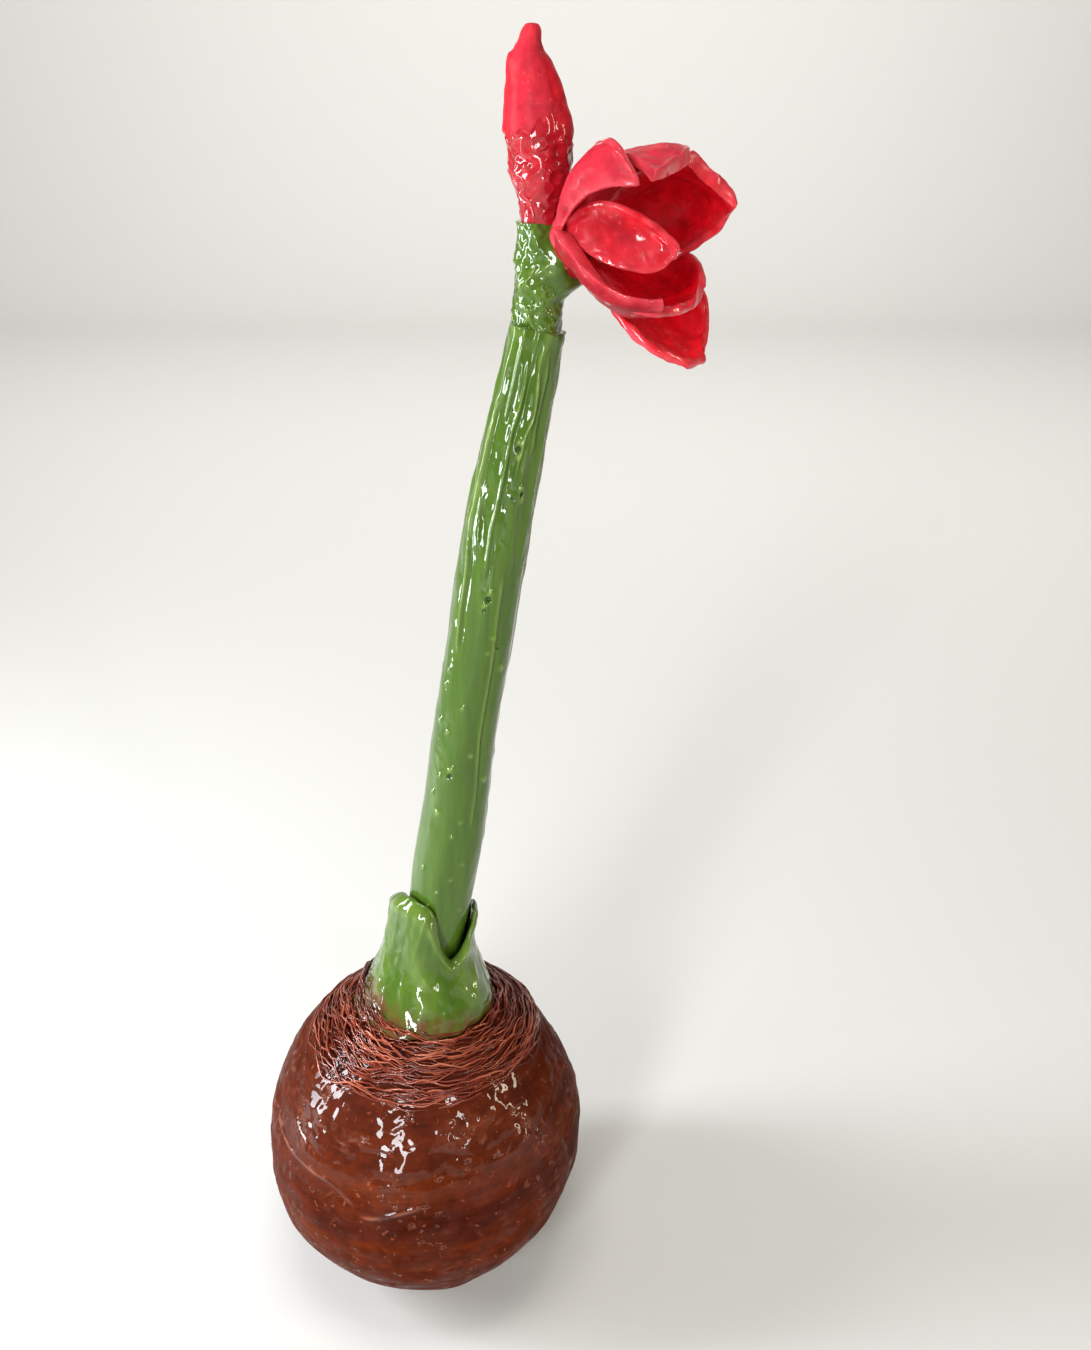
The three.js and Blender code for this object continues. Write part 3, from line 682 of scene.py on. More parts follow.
def build_bulb(settings):
    """Bulb: rings up a leaning axis, with the swell 0.5 sin(3 turn + z/19) sin(z/21) and the relief.

    The relief is added along the profile's normal. Gloss is full on the front of the shoulder and on the
    glaze runs. The runs, the raised sides of the chips and the rings of the blisters are painted pale, as
    bare clay and painted glint in one.
    """
    turn = np.linspace(0, FULL_TURN, BULB_COLUMNS, endpoint=False)[None, :]
    fine = np.linspace(0, BULB_TOP, 2000)
    length = walked(fine, through(BULB_PROFILE, fine))
    height = np.interp(np.linspace(0, length[-1], BULB_ROWS), length, fine)[:, None]
    radius = through(BULB_PROFILE, height)
    tilt = np.arctan2(-np.gradient(radius[:, 0], height[:, 0]), 1.0)[:, None]
    reach = radius + 0.5 * np.sin(3 * turn + height / 19) * np.sin(height / 21)
    flat = round_axis(0, reach, turn, height)
    turns, heights = np.broadcast_arrays(np.where(turn > math.pi, turn - FULL_TURN, turn), height)
    relief = bulb_relief(turns, heights, radius, flat) * settings.relief
    z = height + relief * np.sin(tilt)
    underside, well = (
        [round_axis(BULB_LEAN * z_there, r, turn, z_there) for r, z_there in rings]
        for rings in (UNDERSIDE, WELL)
    )
    side = round_axis(BULB_LEAN * z, reach + relief * np.cos(tilt), turn, z)
    grid = np.concatenate([*underside, side, *well])
    ends = ((len(UNDERSIDE), len(WELL)), (0, 0))
    # Painted shade: the band turns dark under the neck's strands, where it shows between them, and in the
    # well.
    band = np.pad(bulb_band(turns, heights, flat), ends, constant_values=((0, -0.6), (0, 0)))
    neck = np.pad(rise(heights, 86.5, 88.5), ends, constant_values=((0, 1), (0, 0)))
    z = grid[..., 2]
    from_axis = grid[..., 0] - BULB_LEAN * z
    there = np.hypot(from_axis, grid[..., 1])
    degrees = np.degrees(np.arctan2(from_axis, -grid[..., 1]))
    gloss = mix(0.08, 0.85, rise(z, 56, 72)) * mix(1, 0.08, rise(np.abs(degrees), 46, 66))
    gloss = gloss + 0.7 * glaze_runs(degrees, z, 1.2) + 0.12 * ripple(grid, 12, 37)
    gloss = gloss + 0.25 * rise(ripple(grid, 4, 38), 0.6, 1)
    # Bare clay and painted glint: pale on the glaze runs, on the raised sides of the chips and on the rings
    # round the blisters.
    chipped = np.clip(strokes(degrees, z, there, chips(*BULB_CHIPS)) * 4, 0, 1)
    rings = dots(degrees, z, there, BLISTERS) - dots(degrees, z, there, BLISTERS, 0.6)
    worn_and_glint = 0.75 * glaze_runs(degrees, z, 0.5) * (0.7 + ripple(grid, 5, 39)) + 0.8 * chipped + 0.45 * rings
    return closed_tube("bulb_body", grid, {
        "band": mix(band, -0.5, neck), "gloss": np.clip(gloss, 0, 1), "worn_and_glint": np.clip(worn_and_glint, 0, 0.8),
    })


def neck_slope():
    """Distance in mm down from the well's lip, with the radius, height and outward tilt of the neck there.

    Below the lip it is the bulb's side, and above it the climb up the collar's foot.
    """
    height = np.linspace(BULB_TOP, 30, 800)
    radius = through(BULB_PROFILE, height)
    tilt = np.arctan2(np.gradient(radius), -np.gradient(height))
    return np.concatenate([NECK_CLIMB, np.stack([walked(radius, height), radius, height, tilt], -1)]).T


def climb_at(turn):
    """How far the neck climbs the collar at a turn in radians, in mm below zero."""
    degrees = (np.degrees(turn) + 190) % 360 - 190
    distance, _, height, _ = np.asarray(NECK_CLIMB).T
    return np.interp(through(PAINT_EDGE, degrees), height[::-1], distance[::-1])


def on_neck(turn, down, lift):
    """Points on the neck at a turn in radians and a distance down its slope, lifted off it by lift."""
    along, *rest = neck_slope()
    radius, height, tilt = (np.interp(down, along, values) for values in rest)
    z = height + lift * np.sin(tilt)
    return round_axis(BULB_LEAN * z, radius + lift * np.cos(tilt), turn, z)


def strand(turn_from, arc, down_from, drift, lift, thickness, seed):
    """One strand as a grid of rings along a path on the neck.

    The path's turn runs from turn_from over arc. Its place on the neck, a share from the top edge to
    NECK_DEPTH, is down_from + drift * share plus three waves, its lift has a wave of its own, and its radius
    is thickness times (1 - |2 share - 1|^4)^0.6, with a wave.
    """
    rng = np.random.default_rng(seed)
    phase = rng.uniform(0, FULL_TURN, 5)
    share = np.linspace(0, 1, max(14, int(abs(arc) * RINGS_PER_RADIAN)))
    turn = turn_from + arc * share
    down = down_from + drift * share + rng.uniform(0.3, 0.9) * np.sin(turn * rng.uniform(4, 9) + phase[0])
    down = down + rng.uniform(0.1, 0.4) * np.sin(turn * rng.uniform(12, 22) + phase[1])
    down = down + 0.1 * np.sin(turn * rng.uniform(30, 45) + phase[4])
    down = mix(climb_at(turn), NECK_DEPTH, np.clip(down / NECK_DEPTH, 0, 1.6))
    raised = lift + 0.3 * np.sin(turn * rng.uniform(6, 12) + phase[2])
    path = on_neck(turn, down, raised)
    radius = thickness * np.maximum(1 - np.abs(2 * share - 1) ** 4, 0.02) ** 0.6
    radius = radius * (1 + 0.3 * np.sin(turn * rng.uniform(12, 22) + phase[3]))
    forward = np.gradient(path, axis=0)
    forward /= np.linalg.norm(forward, axis=1, keepdims=True)
    outward = on_neck(turn, down, raised + 1) - path
    outward -= forward * np.einsum("ij,ij->i", outward, forward)[:, None]
    outward /= np.linalg.norm(outward, axis=1, keepdims=True)
    sideways = np.cross(forward, outward)
    angle = np.linspace(0, FULL_TURN, STRAND_SIDES, endpoint=False)[None, :, None]
    round_it = outward[:, None] * np.cos(angle) + sideways[:, None] * np.sin(angle)
    return path[:, None] + radius[:, None, None] * round_it


def build_fibres(name, strands):
    """One mesh of closed strands. Their tone is painted light: painted shade on strands that lie low and on
    each strand's sides, and a copper painted highlight on the side that faces out.
    """
    points, quads, fans, painted_light_tones = [], [], [], []
    start = 0
    # Painted highlight on the side of each strand that faces out, falling to painted shade on its sides and
    # underside.
    crest = np.maximum(np.cos(np.linspace(0, FULL_TURN, STRAND_SIDES, endpoint=False)), 0) ** 1.3
    for grid, tone in strands:
        rows, columns = grid.shape[:2]
        four, three = tube_faces(rows, columns, start)
        points += [grid.reshape(-1, 3), grid[[0, -1]].mean(1)]
        quads.append(four)
        fans.append(three)
        painted_light_tones += [np.tile(crest * mix(0.1, 1.15, tone ** 1.3), rows), np.zeros(2)]
        start += rows * columns + 2
    faces = [np.concatenate(quads), np.concatenate(fans)]
    return put_mesh(name, np.concatenate(points), faces, {"tone": np.concatenate(painted_light_tones)})


def neck_strands(settings):
    """Strands that wind round the neck, crossing at small angles, spread almost evenly down its slope."""
    rng = np.random.default_rng(5)
    made = []
    for k in range(settings.strands):
        down = NECK_DEPTH * ((k + rng.uniform(0, 1)) / settings.strands) ** 0.95
        arc = rng.uniform(0.35, 1.7)
        thickness = rng.uniform(0.16, 0.4) * settings.thickness / STRAND_RADIUS
        lift = rng.uniform(0.0, 0.9)
        turn_from = rng.uniform(-math.pi, math.pi)
        grid = strand(turn_from, arc, down, rng.uniform(-2.6, 2.6), lift, thickness, NECK_SEED + k)
        # Painted shade: strands that lie low on the neck get a darker tone and lifted ones a lighter one,
        # plus a random share.
        made.append((grid, np.clip(0.25 + 0.7 * lift + rng.uniform(-0.2, 0.3), 0, 1)))
    return made


def loose_strands(settings):
    """Strands that leave the edge of the neck and run down the bulb's shoulder."""
    rng = np.random.default_rng(8)
    made = []
    for k in range(settings.loose_strands):
        turn_from = rng.uniform(-math.pi, math.pi)
        arc = rng.uniform(0.4, 1.2)
        down = NECK_DEPTH + rng.uniform(-1.5, 1.0)
        drift = rng.uniform(-3, 4.0)
        thickness = rng.uniform(0.22, 0.4) * settings.thickness / STRAND_RADIUS
        grid = strand(turn_from, arc, down, drift, 0.05, thickness, LOOSE_SEED + k)
        made.append((grid, rng.uniform(0.2, 0.9)))
    return made


def build_collar():
    """Collar: a wall round the stem, its outside, rolled rim and inside as one profile.

    A point at turn and profile share lies between the outer radius, with folds 0.5 sin(6 turn + z/14), and
    the inner one, the stem's radius with slack and an opening that fades as
    exp(3 (cos(turn - opening) - 1)).
    """
    turn = np.linspace(-190, 170, COLLAR_COLUMNS, endpoint=False)[None, :]
    angle = np.radians(turn)
    # Share of the height above the lip and share of the way in, up the outside, over the rim and down inside.
    over = np.linspace(0.1, math.pi / 2, 10)
    back = np.linspace(0.15, math.pi / 2, 9)
    side = 1 - COLLAR_ROLL
    share = np.concatenate([
        np.linspace(0, side, COLLAR_OUTSIDE_ROWS), side + COLLAR_ROLL * np.sin(over),
        1 - COLLAR_ROLL * (1 - np.cos(back)), np.linspace(0.9, 0, COLLAR_INSIDE_ROWS),
    ])[:, None]
    inward = np.concatenate([
        np.zeros(COLLAR_OUTSIDE_ROWS), 0.5 * (1 - np.cos(over)), 0.5 + 0.5 * np.sin(back),
        np.ones(COLLAR_INSIDE_ROWS),
    ])[:, None]
    z = mix(COLLAR_LIP, through(COLLAR_RIM, turn), share)
    flat = round_axis(0, 18, angle, z)
    relief = 0.5 * np.sin(6 * angle + z / 14) * np.sin(math.pi * share)
    relief = relief + 0.3 * creases(flat, 11, 41, (1, 1, 2.6)) - 0.12 + 0.14 * ripple(flat, 4.5, 42)
    rolled = 0.7 * bell(share - side, COLLAR_ROLL) * (1 + 0.5 * ripple(flat, 9, 43))
    skirt = bell(z - COLLAR_LIP, 1.4) * (0.3 + 0.5 * ripple(flat, 7, 44))
    outer = through(COLLAR_RADIUS, z) + relief * np.clip((z - BULB_TOP) / 8, 0, 1) + rolled + skirt
    opening = COLLAR_OPENING * np.exp(3 * (np.cos(angle - COLLAR_OPENING_TURN) - 1)) * share ** 2
    inner = through(STEM_RADIUS, z) + COLLAR_SLACK + opening + 0.12 * ripple(flat, 5, 45)
    axis = mix(through(COLLAR_AXIS, z), through(STEM_AXIS, z), inward)
    lifted = z + 0.15 * ripple(flat, 8, 46) * bell(share - 1, 0.12)
    foot_axis = through(COLLAR_AXIS, COLLAR_FOOT)
    foot_inner = through(STEM_RADIUS, COLLAR_FOOT) + COLLAR_SLACK
    rings = np.concatenate([
        round_axis(foot_axis, COLLAR_FOOT_RADIUS, angle, COLLAR_FOOT),
        round_axis(foot_axis, COLLAR_FOOT_RADIUS, angle, BULB_TOP - 0.2),
        round_axis(axis, mix(outer, inner, inward), angle, lifted),
        round_axis(through(STEM_AXIS, COLLAR_FOOT), foot_inner, angle, COLLAR_FOOT),
    ])
    ends = ((2, 1), (0, 0))
    crest = np.pad(np.clip(relief * 0.7 + rolled * 0.7 + 0.15, 0, 1) * (inward < 0.9), ends)
    edge = through(PAINT_EDGE, turn) + 3.0 + 1.2 * ripple(rings, 10, 47) + 1.2 * ripple(rings, 4, 48)
    foot = (1 - rise(rings[..., 2] - edge, -4.5, 3.2)) * (0.85 + 0.3 * ripple(rings, 5, 49))
    # Painted shade: the collar's inside, down towards the stem, and its hidden foot take the dark pit colour.
    pit = 0.85 * np.broadcast_to(np.pad(inward > 0.9, ends, constant_values=True), crest.shape)
    return put_mesh("leaf_collar_wall", rings.reshape(-1, 3), [ring_quads(*crest.shape, joined=True)], {
        "crest": crest, "foot": np.clip(foot, 0, 1), "pit": pit,
    })


def stem_lines(degrees, height, radius, width, shift=0):
    """Crests exp(-(distance / width)^2) along the stem's lines, turned by shift, thin at their ends."""
    return sum(
        bell(np.radians(apart(degrees, through(path, height) + shift)) * radius, width)
        * on_path(height, path, 6)
        for path in STEM_LINES
    )


def build_stem():
    """Stem: rings on a bent axis that tilt more towards the top, by TOP_TILT there.

    The radius is the table's plus nine ridges 0.35 cos(9 turn + 2.5 share) that grow towards the top, broad
    facets, raised lines with grooves beside them, two flattened strips, pits with raised edges, grains and
    chips.
    """
    turn = np.linspace(-math.pi, math.pi, STEM_COLUMNS, endpoint=False)[None, :]
    share = np.linspace(0, 1, STEM_ROWS)[:, None]
    z = mix(STEM_FOOT, STEM_TOP, share)
    radius = through(STEM_RADIUS, z)
    degrees, heights = np.broadcast_arrays(np.degrees(turn), z)
    flat = round_axis(0, 8.5, turn, z)
    upper = rise(heights, 205, 262)
    relief = 0.35 * np.cos(STEM_RIDGES * turn + 2.5 * share) * mix(0.12, 0.75, upper)
    relief = relief + 0.05 * np.sin(z / 5 + 2 * turn) * np.sin(z / 13 + turn)
    relief = relief + 0.28 * ripple(flat, 13, 51, (1, 1, 5)) * mix(0.5, 1, upper)
    relief = relief + upper * (0.4 * creases(flat, 6, 52, (1, 1, 12)) - 0.12)
    relief = relief + mix(0.05, 0.13, upper) * ripple(flat, 3.6, 53, (1, 1, 1.8))
    lines = stem_lines(degrees, heights, radius, 0.42)
    relief = relief + 0.5 * lines - 0.3 * stem_lines(degrees, heights, radius, 0.6, 7)
    # Flattened strips, one in the middle of the front and one on its right, which catch the light in streaks.
    middle, right = (np.radians(apart(degrees, at)) * radius for at in (-12, 33))
    relief = relief - 0.42 * bell(middle, 2.3) * rise(heights, 200, 215)
    relief = relief - 0.5 * bell(right, 2.0) * plateau(heights, 150, 170, 262, 275)
    pits_here = dots(degrees, heights, radius, STEM_PITS, 0.62)
    grains = dots(degrees, heights, radius, STEM_GRAINS)
    relief = relief + 0.5 * dots(degrees, heights, radius, STEM_PITS, 1.7) - 1.3 * pits_here + 0.55 * grains
    relief = relief + 0.22 * strokes(degrees, heights, radius, chips(*STEM_CHIPS))
    relief = relief + 0.35 * rise(heights, 296.5, 299.5) * (0.6 + ripple(flat, 5, 55))
    reach = radius + relief * rise(heights, 118, 132)
    # Rounded top: rings of shrinking reach, raised a little.
    cap = np.array([0.985, 0.93, 0.8, 0.55, 0.25])[:, None]
    raised = np.array([0.22, 0.38, 0.45, 0.45, 0.45])[:, None]
    reach = np.concatenate([reach, reach[-1:] * cap])
    z = np.concatenate([z, STEM_TOP + 0 * cap])
    tilt = TOP_TILT * np.concatenate([share, 1 + 0 * cap])
    side = reach * np.sin(turn)
    grid = np.stack([
        through(STEM_AXIS, z) + side * np.cos(tilt), -reach * np.cos(turn),
        z + np.concatenate([0 * share, raised]) - side * np.sin(tilt),
    ], -1)
    crest = np.clip(np.clip(0.6 * lines + 0.7 * relief * mix(0.3, 1, upper), 0, 1) + 0.9 * grains, 0, 1)
    # The pit field is painted shade, dark in the holes.
    return closed_tube("stem_stalk", grid, {
        "crest": np.pad(crest, ((0, len(cap)), (0, 0)), mode="edge"),
        "pit": 0.75 * np.pad(np.clip(pits_here * 1.3 - 0.15, 0, 1), ((0, len(cap)), (0, 0))), "foot": 0,
    })


def build_head():
    """Head: an uneven knob on the stem, with the short branch to the flower as part of its radius.

    Where the distance d from the branch's line is small, the radius is drawn out to the branch's end plane by
    the share exp(-(d / 5.5)^6). Heights below the line count by 0.72, which gives the branch a deeper root.
    """
    turn = np.linspace(-math.pi, math.pi, HEAD_COLUMNS, endpoint=False)[None, :]
    z = np.linspace(HEAD_FOOT, HEAD_TOP, HEAD_ROWS)[:, None]
    flat = round_axis(0, 6.5, turn, z)
    relief = 0.34 * ripple(flat, 5.0, 61) + 0.2 * creases(flat, 5.5, 62) - 0.1 + 0.16 * ripple(flat, 2.4, 63)
    reach = through(HEAD_RADIUS, z) + 0.3 * np.sin(4 * turn + z / 2.4) + relief
    axis_x = through(HEAD_AXIS, z)
    end = FLOWER_SEAT + FLOWER_FACING * (SEAT_BACK + 0.4)
    outward = np.stack([np.sin(turn), -np.cos(turn)], -1)
    facing, aside = outward @ FLOWER_FACING[:2], -outward @ FLOWER_SIDEWAYS[:2]
    from_axis = end[0] - axis_x
    to_plane = (from_axis * FLOWER_FACING[0] + end[1] * FLOWER_FACING[1]) / np.maximum(facing, 0.35)
    sideways = reach * aside + from_axis * FLOWER_SIDEWAYS[0] + end[1] * FLOWER_SIDEWAYS[1]
    above = z - end[2]
    from_line = np.hypot(sideways, np.where(above < 0, 0.72 * above, above))
    drawn = bell(from_line, BRANCH_RADIUS - 0.1, 6) * (facing > 0.35)
    reach = mix(reach, np.maximum(reach, to_plane + 0.4 * relief), drawn)
    grid = capped_column(HEAD_AXIS, z, reach, turn, np.array([0.93, 0.8, 0.5, 0.2])[:, None])
    z = grid[..., 2]
    tilt = TOP_TILT * (1 - rise(z, HEAD_FOOT, HEAD_FOOT + 12))
    grid[..., 2] = z - (grid[..., 0] - through(HEAD_AXIS, z)) * tilt
    crest = np.pad(np.clip(0.9 * relief + 0.1, 0, 1), ((4, 4), (0, 0)), mode="edge")
    return closed_tube("head_knob", grid, {"crest": crest, "pit": 0, "foot": 0})


def build_bud():
    """Bud: rings on a bent axis, crumpled and glossy below the varnish line, smooth and satin above it.

    At each of the three seams, which climb with a slant of 25 degrees, a petal's edge steps down by
    0.8 exp(-past / 30) over its first 14 degrees, with a narrow groove beside it.
    """
    turn = np.linspace(-math.pi, math.pi, BUD_COLUMNS, endpoint=False)[None, :]
    share = np.linspace(0, 1, BUD_ROWS)[:, None]
    z = mix(BUD_FOOT, BUD_TOP, share)
    degrees = np.degrees(turn)
    step = 0
    groove = 0
    for seam in BUD_SEAMS:
        past = (degrees - seam - BUD_SLANT * share) % 360
        step = step - BUD_SEAM_STEP * np.exp(-past / 30) * rise(past, 0, 14)
        groove = groove + bell(apart(degrees, seam + 3 + BUD_SLANT * share), 6)
    flat = round_axis(0, 7.5, turn, z)
    wrinkles = 0.3 * creases(flat, 4.6, 71, (1.3, 1.3, 1)) - 0.12
    wrinkles = wrinkles + 0.17 * ripple(flat, 2.4, 72, (1.3, 1.3, 1))
    relief = (step - 0.16 * groove) * np.sin(math.pi * np.minimum(1, share * 1.1))
    relief = relief + 0.22 * ripple(flat, 11, 73) + 0.07 * ripple(flat, 3, 74)
    varnished = 1 - rise(z, BUD_VARNISH_LINE - 3, BUD_VARNISH_LINE + 1)
    relief = relief + wrinkles * varnished * rise(share, 0.0, 0.08)
    line = BUD_VARNISH_LINE + 3.2 * bell(apart(degrees, 26), 30) + 0.6 * np.sin(2 * turn + 1)
    line = line + 0.4 * np.sin(7 * turn) + 0.5 * np.sin(13 * turn + 1)
    sheath = bell(apart(degrees, -55), 62, 4) * (1 - rise(z, line - 0.5, line + 0.4)) * rise(z, 326, 332)
    # Two of the petals end in a shoulder short of the tip, one on each side.
    shoulder = bell(apart(degrees, 88), 52, 4) * plateau(z, 361, 363.6, 365, 368.4)
    shoulder = shoulder + 0.6 * bell(apart(degrees, -95), 40, 4) * plateau(z, 362.6, 363.6, 365, 368)
    relief = relief - BUD_SHEATH_STEP * sheath - 1.3 * shoulder
    reach = np.maximum(through(BUD_RADIUS, z) + relief, 0.5)
    cap = np.array([0.9, 0.72, 0.45, 0.2])[:, None]
    grid = capped_column(BUD_AXIS, z, reach, turn, cap, np.array([0.2, 0.35, 0.45, 0.5])[:, None])
    gloss = 1 - rise(z, line - 0.3, line + 0.3)
    # Painted shade: darker just past each seam's step, in the grooves and on the right side. The glossy part
    # below the varnish line is darker and more crimson. Painted highlight: pale on raised wrinkles and
    # towards the tip.
    tone = mix(0.85 + 0.7 * step + 0.15 * ripple(flat, 12, 75) - 0.15 * groove, 0.4, 0.8 * gloss)
    shade = mix(0.7, 1, rise(z, line - 1.5, line + 1)) * mix(1, 0.85, rise(degrees, 10, 50))
    rim = np.clip(0.35 * np.maximum(relief, 0) + 0.5 * rise(z, 362, 368), 0, 1) * (1 - 0.6 * gloss)
    fields = {
        "tone": np.clip(tone, 0, 1), "rim": rim, "gloss": gloss,
        "shade": shade * (1 + 0.1 * ripple(flat, 9, 76)),
    }
    ends = ((len(cap), len(cap)), (0, 0))
    fields = {key: np.pad(field, ends, mode="edge") for key, field in fields.items()}
    return closed_tube("bud_closed", grid, fields)


def build_flower_seat():
    """Seat: a dome, its reach cos(lift) and its height sin(lift), with a flat back towards the branch."""
    turn = np.linspace(0, FULL_TURN, 90, endpoint=False)[None, :, None]
    lift = np.linspace(0, 1.45, 30)[:, None, None]
    back = np.array([1.2, 2.4, 3.4])[:, None, None]
    reach = np.concatenate([back, SEAT_RADIUS * np.cos(lift)])
    along = SEAT_BACK + np.concatenate([0 * back, SEAT_HEIGHT * np.sin(lift)])
    grid = FLOWER_SEAT + FLOWER_FACING * along + reach * (FLOWER_SIDEWAYS * np.cos(turn) + UP * np.sin(turn))
    grid = grid + 0.15 * ripple(grid, 4, 81)[..., None] * FLOWER_FACING
    # Painted shade: the seat, under the petals' bases, is darkened to 0.55.
    return closed_tube("flower_seat_dome", grid, {"tone": 0.6, "rim": 0, "gloss": 0, "shade": 0.55})


def curve_at(places, s):
    """Cubic through four places, reached at 0, 1/3, 2/3 and 1 of the way s."""
    weights = np.stack([
        -4.5 * (s - 1 / 3) * (s - 2 / 3) * (s - 1),
        13.5 * s * (s - 2 / 3) * (s - 1),
        -13.5 * s * (s - 1 / 3) * (s - 1),
        4.5 * s * (s - 1 / 3) * (s - 2 / 3),
    ], -1)
    return weights @ np.asarray(places, float)


def sheet_at(petal, s, t):
    """Point of a petal's sheet at s from seat to tip and t from -1 at the near edge to 1 at the far edge.

    It is middle + across (far - near) / 2 + across^2 ((far + near) / 2 - middle), and across is t, narrowed
    towards the tip along a quarter of an ellipse.
    """
    near_tip = np.clip((s - 1 + petal["round"]) / petal["round"], 0, 1)
    across = (t * (1 - (1 - petal["tip"]) * (1 - np.sqrt(1 - near_tip ** 2))))[..., None]
    near, middle, far = (curve_at(petal[key], s) for key in ("near", "middle", "far"))
    return middle + across * (far - near) / 2 + across ** 2 * ((far + near) / 2 - middle)


def edge_round(distance, size):
    """Share of the full thickness at a distance in mm from the edge: (1 - (1 - distance / size)^2.5)^0.4."""
    return (1 - (1 - np.clip(distance / size, 0, 1)) ** 2.5) ** 0.4


def build_petal(name, petal, seed):
    """Petal: its sheet with half the thickness on each side, cut square at the edge with rounded corners.

    A ring of points goes across one face and back across the other. From 4 mm inside the edge the thickness
    goes from PETAL_THICKNESS to the table's edge, and edge_round closes it. A bead
    exp(-((distance - 0.5) / (0.4 + bead / 2))^2) follows the edge, with a groove inside it along the near
    side. A petal whose near edge is over 2 mm thick is cut blunt, with larger roundings.
    """
    v = np.linspace(0.008, 0.992, PETAL_ROWS)[:, None]
    u = (np.arange(PETAL_COLUMNS) + 0.5)[None, :] / PETAL_COLUMNS
    s = 0.5 - 0.5 * np.cos(math.pi * v) + 0 * u
    t = -np.cos(FULL_TURN * u) + 0 * v
    face = np.where(u < 0.5, 1.0, -1.0) + 0 * v
    near = t < 0
    step = 1e-3
    rough = sheet_at(petal, s, t)
    both = rough + face[..., None] * 20
    ragged_s = s + 0.006 * ripple(rough, 6, seed) * s ** 3
    ragged_t = t * (1 + 0.014 * ripple(rough, 7, seed + 1))
    along = sheet_at(petal, ragged_s + step, ragged_t) - sheet_at(petal, ragged_s - step, ragged_t)
    across = sheet_at(petal, ragged_s, ragged_t + step) - sheet_at(petal, ragged_s, ragged_t - step)
    normal = np.cross(along, across)
    normal /= np.linalg.norm(normal, axis=-1, keepdims=True)
    width = np.linalg.norm(curve_at(petal["far"], s) - curve_at(petal["near"], s), axis=-1) / 2
    length = np.linalg.norm(np.diff(curve_at(petal["middle"], np.linspace(0, 1, 60)), axis=0), axis=-1).sum()
    to_side = (1 - np.abs(t)) * np.maximum(width, 2.0)
    to_tip = (1 - s) * length
    to_edge = np.minimum(to_side, to_tip)
    near_bead, far_bead, tip_bead = petal["bead"]
    swell = mix(np.where(near, near_bead, far_bead), tip_bead, rise(to_tip, 3.5, 1.0))
    bead = bell(to_edge - 0.5, 0.4 + 0.5 * swell) * (swell + 0.12 * ripple(rough, 6, seed + 2))
    bead = bead - petal["groove"] * bell(to_edge - 2.2, 0.8) * near
    skin = 0.1 * ripple(both, 5, seed + 4) + 0.12 * creases(both, 9, seed + 5)
    skin = skin + 0.06 * ripple(both, 2.6, seed + 9) + 0.16 * bell(to_edge, 3) * ripple(both, 3.4, seed + 11)
    near_edge, far_edge, tip_edge = petal["edge"]
    blunt = rise(near_edge, 2, 2.6)
    rounded = edge_round(to_side, mix(EDGE_ROUND, BLUNT_SIDE_ROUND, blunt * near))
    rounded = rounded * edge_round(s * length, EDGE_ROUND)
    rounded = rounded * edge_round(to_tip, mix(EDGE_ROUND, BLUNT_TIP_ROUND, blunt))
    thick = mix(np.where(near, near_edge, far_edge), tip_edge, rise(to_tip, 5, 1.5))
    half = (mix(thick, PETAL_THICKNESS, rise(to_edge, 0, 4)) / 2 + bead + skin * 0.8) * rounded
    wobble = 0.4 * ripple(rough, 13, seed + 3) * (1 - 0.5 * (s < 0.15))
    grid = FLOWER_SEAT + sheet_at(petal, ragged_s, ragged_t) + normal * (wobble + face * half)[..., None]
    inwards = FLOWER_SEAT + FLOWER_FACING * 22 + UP * 2 - grid
    inwards /= np.linalg.norm(inwards, axis=-1, keepdims=True)
    # Painted light and shade: inside faces take the crimson tone and darken deep in the cup, each face and
    # the edge take their shade factors, and the rim gets a coral painted highlight.
    inside = np.clip(0.5 + 1.5 * np.einsum("ijk,ijk->ij", normal * face[..., None], inwards), 0, 1)
    depth = bell(np.linalg.norm(grid - FLOWER_SEAT, axis=-1), 19)
    tone = mix(petal["tone"][1], petal["tone"][0], inside) + 0.1 * ripple(rough, 10, seed + 6)
    shade = mix(petal["shade"][1], petal["shade"][0], inside) * (1 - 0.4 * depth * inside)
    shade = mix(shade, petal["shade"][2], bell(to_edge, 3)) * (1 + 0.08 * ripple(rough, 5, seed + 12))
    rim = bell(to_edge, 1.5) * (0.9 + 0.5 * ripple(rough, 5, seed + 7))
    gloss = bell(to_edge, 2.2) * (0.7 + 0.8 * ripple(rough, 5, seed + 8))
    gloss = gloss + 0.8 * rise(ripple(rough, 4, seed + 10), 0.75, 1.1)
    # Each end is closed by a strip of quads between the two faces.
    left = np.arange(PETAL_COLUMNS // 2 - 1)
    strip = np.stack([left, left + 1, PETAL_COLUMNS - 2 - left, PETAL_COLUMNS - 1 - left], -1)
    ends = np.concatenate([strip[:, ::-1], strip + (PETAL_ROWS - 1) * PETAL_COLUMNS])
    return put_mesh(name, grid.reshape(-1, 3), [ring_quads(PETAL_ROWS, PETAL_COLUMNS), ends], {
        "tone": np.clip(tone, 0, 1), "rim": np.clip(rim, 0, 1), "gloss": np.clip(gloss, 0, 1), "shade": shade,
    })


def colour(name, description, hex_colour):
    """Property for a colour, with a default given as sRGB hex."""
    return FloatVectorProperty(name=name, description=description, size=3, subtype="COLOR",
                               default=linear(hex_colour))


def light_power(name, description, watts):
    """Property for a light's power in W."""
    return FloatProperty(name=name, description=description, default=watts, min=0, unit="POWER")


